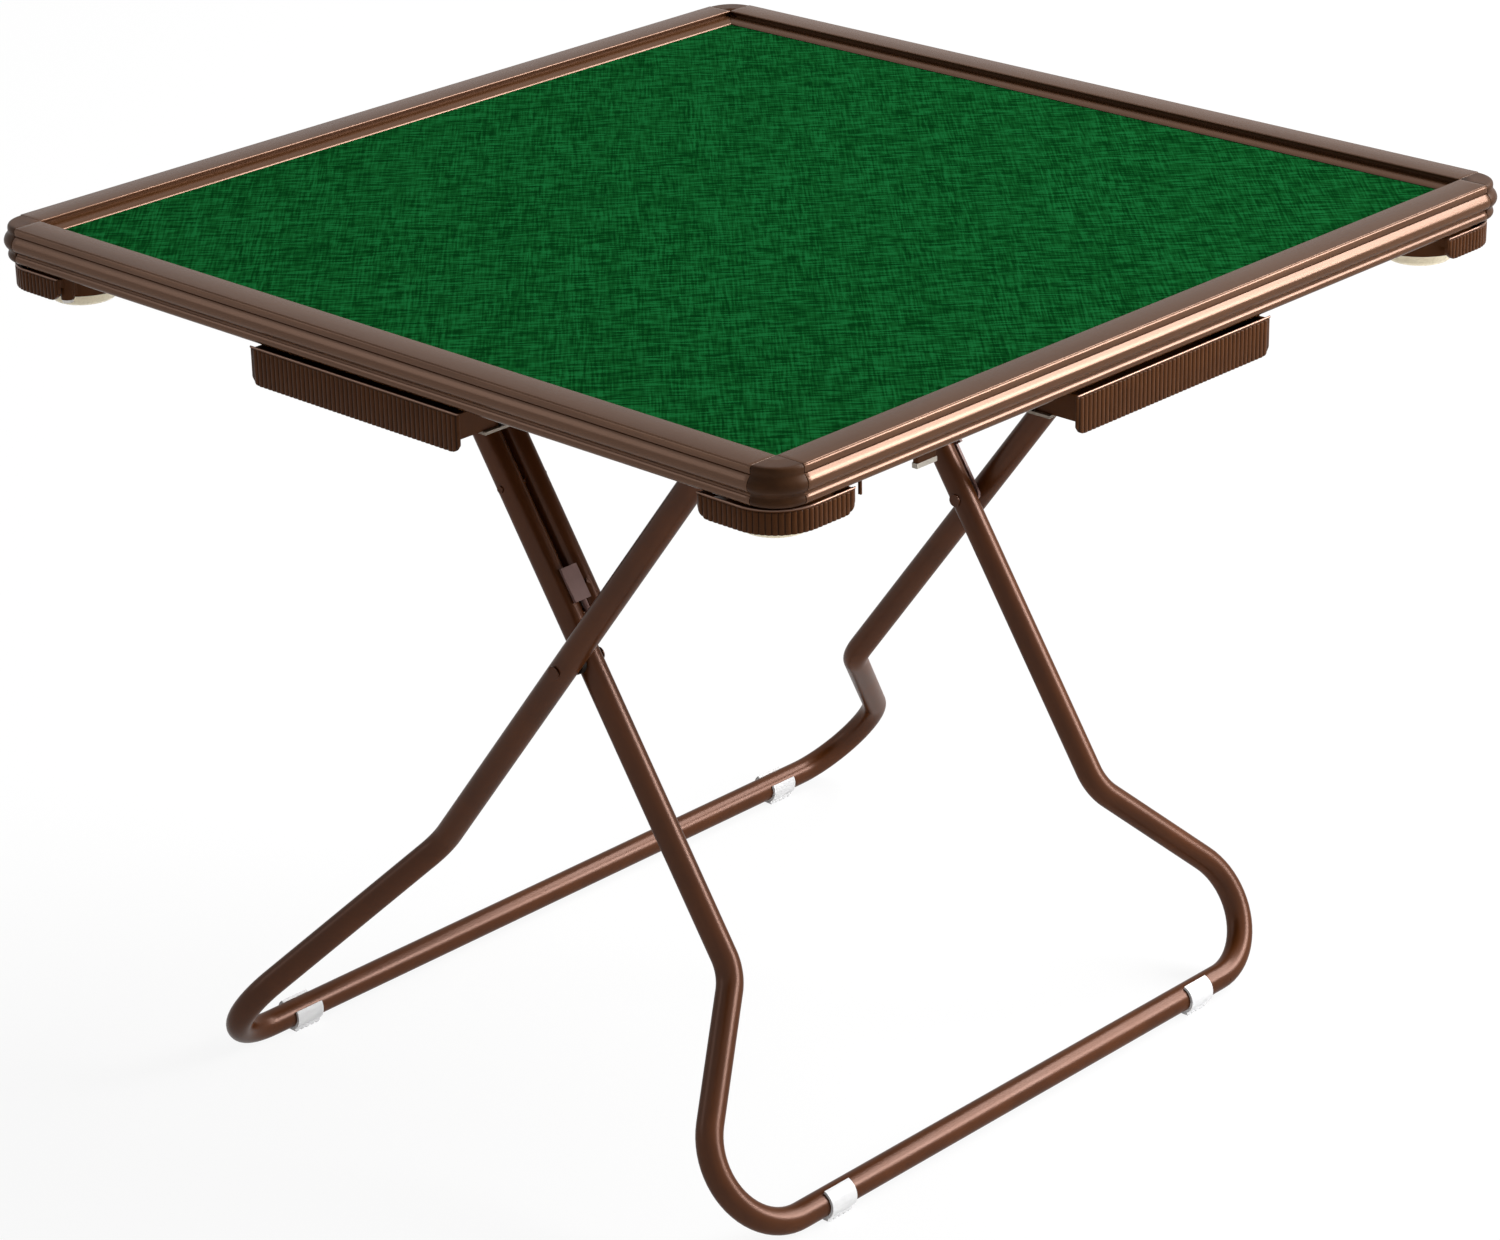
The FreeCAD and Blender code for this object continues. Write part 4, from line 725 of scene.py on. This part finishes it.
def makeDish(corner):  # a rim over a sloping wall with a rounded foot, turned about the dish's own axis
    dish = dishShape
    rim, neck, band, wall, high = (dish[k] for k in ("rim", "neck", "band", "wall", "height"))
    rimRound, bandRound, footRound = dish["rimRound"], dish["bandRound"], dish["round"]
    slope = math.atan2(neck - dish["foot"], high - band)
    tilt = math.degrees(slope)
    footU = dish["foot"] - footRound * math.tan((math.pi / 2 - slope) / 2)
    footV = footRound - high
    lip = neck - wall / math.cos(slope)
    profile = np.concatenate([
        arc(rim - rimRound, -rimRound, rimRound, 90, 0, 6),
        arc(rim - bandRound, bandRound - band, bandRound, 0, -90, 4), [[neck, -band]],
        arc(footU, footV, footRound, -tilt, -90, 12), [[0, -high]], [[0, wall - high]],
        arc(footU, footV, footRound - wall, -90, -tilt, 12), [[lip, -band]],
        arc(lip + rimRound + bandRound, -rimRound, rimRound, 180, 90, 6), [[rim - rimRound, 0]]])
    patch = lathe(dish["centre"], -dish["centre"], dish["top"], profile)
    return makePiece("dish." + corner, quarterTurn([patch], corners.index(corner)), finishes["dish"])


for corner in corners:
    dress(makeDish(corner), "dish_" + corner, "tray_" + corner)
print("dishes made")


# playing cloth

clothShape = {"half": 402.0, "below": 8.2, "thick": 0.9, "cells": 60}


def makeCloth():  # a flat sheet over the board, tucked under the rails
    spot = np.linspace(-clothShape["half"], clothShape["half"], clothShape["cells"] + 1)
    x, y = np.meshgrid(spot, spot, indexing="ij")
    grid = np.stack([x, y, np.full(x.shape, tableTop - clothShape["below"])], axis=2)
    piece = makePiece("playingCloth", [(grid, np.stack([x, y], axis=2), noEdge)], finishes["cloth"])
    body = piece.modifiers.new("thickness", "SOLIDIFY")
    body.thickness = clothShape["thick"] * mm
    body.offset = -1.0
    return piece


cloth = dress(makeCloth(), "playing_cloth", "table_top")
print("cloth made")


# floor, light and camera

stageLook = {"white": 0.86, "glow": 0.9, "fill": 0.2, "reach": 30.0}  # reach of the floor in metres
pureWhite = (1, 1, 1, 1)


def rayKinds(wire):  # 1 for a ray from the camera, from a glossy surface and through a clear one
    return [wire.node("ShaderNodeLightPath", output="Is %s Ray" % kind)
            for kind in ("Camera", "Glossy", "Transmission")]


def makeFloor():  # a square that is matt for soft light and glows white for the rays that show it
    made, wire = openFinish("studioFloor")
    seen, mirror, clear = rayKinds(wire)
    matt = wire.node("ShaderNodeBsdfDiffuse", inputs={"Color": (stageLook["white"],) * 3 + (1.0,)})
    glow = wire.node("ShaderNodeEmission", inputs={"Color": pureWhite, "Strength": 1.0})
    closeFinish(wire, mixLayers(wire, seen * stageLook["glow"] + mirror + clear, matt, glow))
    reach = stageLook["reach"]
    mesh = bpy.data.meshes.new("studioFloor")
    mesh.from_pydata([(-reach, -reach, 0), (reach, -reach, 0), (reach, reach, 0), (-reach, reach, 0)], [],
                     [(0, 1, 2, 3)])
    mesh.materials.append(made)
    floor = bpy.data.objects.new("studioFloor", mesh)
    bpy.context.scene.collection.objects.link(floor)


def makeWorld():  # white where it shows, and a weaker fill for soft light
    world = bpy.data.worlds.new("studio")
    bpy.context.scene.world = world
    world.use_nodes = True
    world.node_tree.nodes.clear()
    wire = Wire(world.node_tree)
    seen, mirror, clear = rayKinds(wire)
    share = wire.node("ShaderNodeMath", {"operation": "MINIMUM"}, {0: seen + mirror + clear, 1: 1.0})
    level = share * (1.0 - stageLook["fill"]) + stageLook["fill"]
    back = wire.node("ShaderNodeBackground", inputs={"Color": pureWhite, "Strength": level})
    wire.node("ShaderNodeOutputWorld", inputs={"Surface": back})


# metres and watts
lampShape = {
    "key": {"at": (3.4, 2.9, 2.3), "to": (0.1, 0, 0.6), "along": (-1, 1, 0), "wide": 1.6, "tall": 1.6,
            "power": 112.0},
    "window": {"at": (2.45, 5.5, 5.25), "to": (0, 0, 0.6), "along": (6.9, 0, -3.7), "wide": 7.8, "tall": 2.8,
               "power": 1060.0},
    "side": {"at": (-5.5, -4.6, 4.8), "to": (0, 0, 0.6), "along": (0, 2.5, 2.8), "wide": 3.6, "tall": 2.4,
             "power": 42.0},
}


def makeLamp(name, at, to, along, wide, tall, power):  # a soft rectangle that faces a point
    data = bpy.data.lights.new(name, "AREA")
    data.shape = "RECTANGLE"
    data.size, data.size_y = wide, tall
    data.energy = power
    back = (Vector(at) - Vector(to)).normalized()
    beside = (Vector(along) - Vector(along).dot(back) * back).normalized()  # its wide side runs along a line
    lamp = bpy.data.objects.new(name, data)
    lamp.matrix_world = Matrix((beside, back.cross(beside), back)).transposed().to_4x4()
    lamp.matrix_world.translation = Vector(at)
    lamp.visible_camera = False
    bpy.context.scene.collection.objects.link(lamp)


cameraShape = {
    "at": (2.3184, -2.4403, 1.7963), "azimuth": 45.08, "elevation": 22.91, "roll": -1.71, "focal": 4419.8,
    "middle": (647.6, 599.6), "image": (1500, 1240), "sensor": 36.0, "far": 100.0}


def makeCamera():  # headings from azimuth, elevation and roll; focal length and picture's middle in pixels
    shot = cameraShape
    azimuth, elevation, roll = (math.radians(shot[k]) for k in ("azimuth", "elevation", "roll"))
    back = Vector((math.cos(elevation) * math.sin(azimuth), -math.cos(elevation) * math.cos(azimuth),
                   math.sin(elevation)))
    level = (-back).cross(Vector((0, 0, 1))).normalized()
    upright = level.cross(-back)
    right = math.cos(roll) * level + math.sin(roll) * upright
    up = math.cos(roll) * upright - math.sin(roll) * level
    wide, tall = shot["image"]
    data = bpy.data.cameras.new("camera")
    data.sensor_fit = "HORIZONTAL"
    data.sensor_width = shot["sensor"]
    data.lens = shot["focal"] * shot["sensor"] / wide
    data.shift_x = (wide / 2 - shot["middle"][0]) / wide
    data.shift_y = (shot["middle"][1] - tall / 2) / wide
    data.clip_end = shot["far"]
    camera = bpy.data.objects.new("camera", data)
    camera.matrix_world = Matrix((right, up, back)).transposed().to_4x4()
    camera.matrix_world.translation = Vector(shot["at"])
    bpy.context.scene.collection.objects.link(camera)
    bpy.context.scene.camera = camera


makeFloor()
makeWorld()
for lampName, lampValues in lampShape.items():
    makeLamp(lampName + "Lamp", **lampValues)
makeCamera()
bpy.context.scene.view_settings.view_transform = "Standard"
print("stage set")
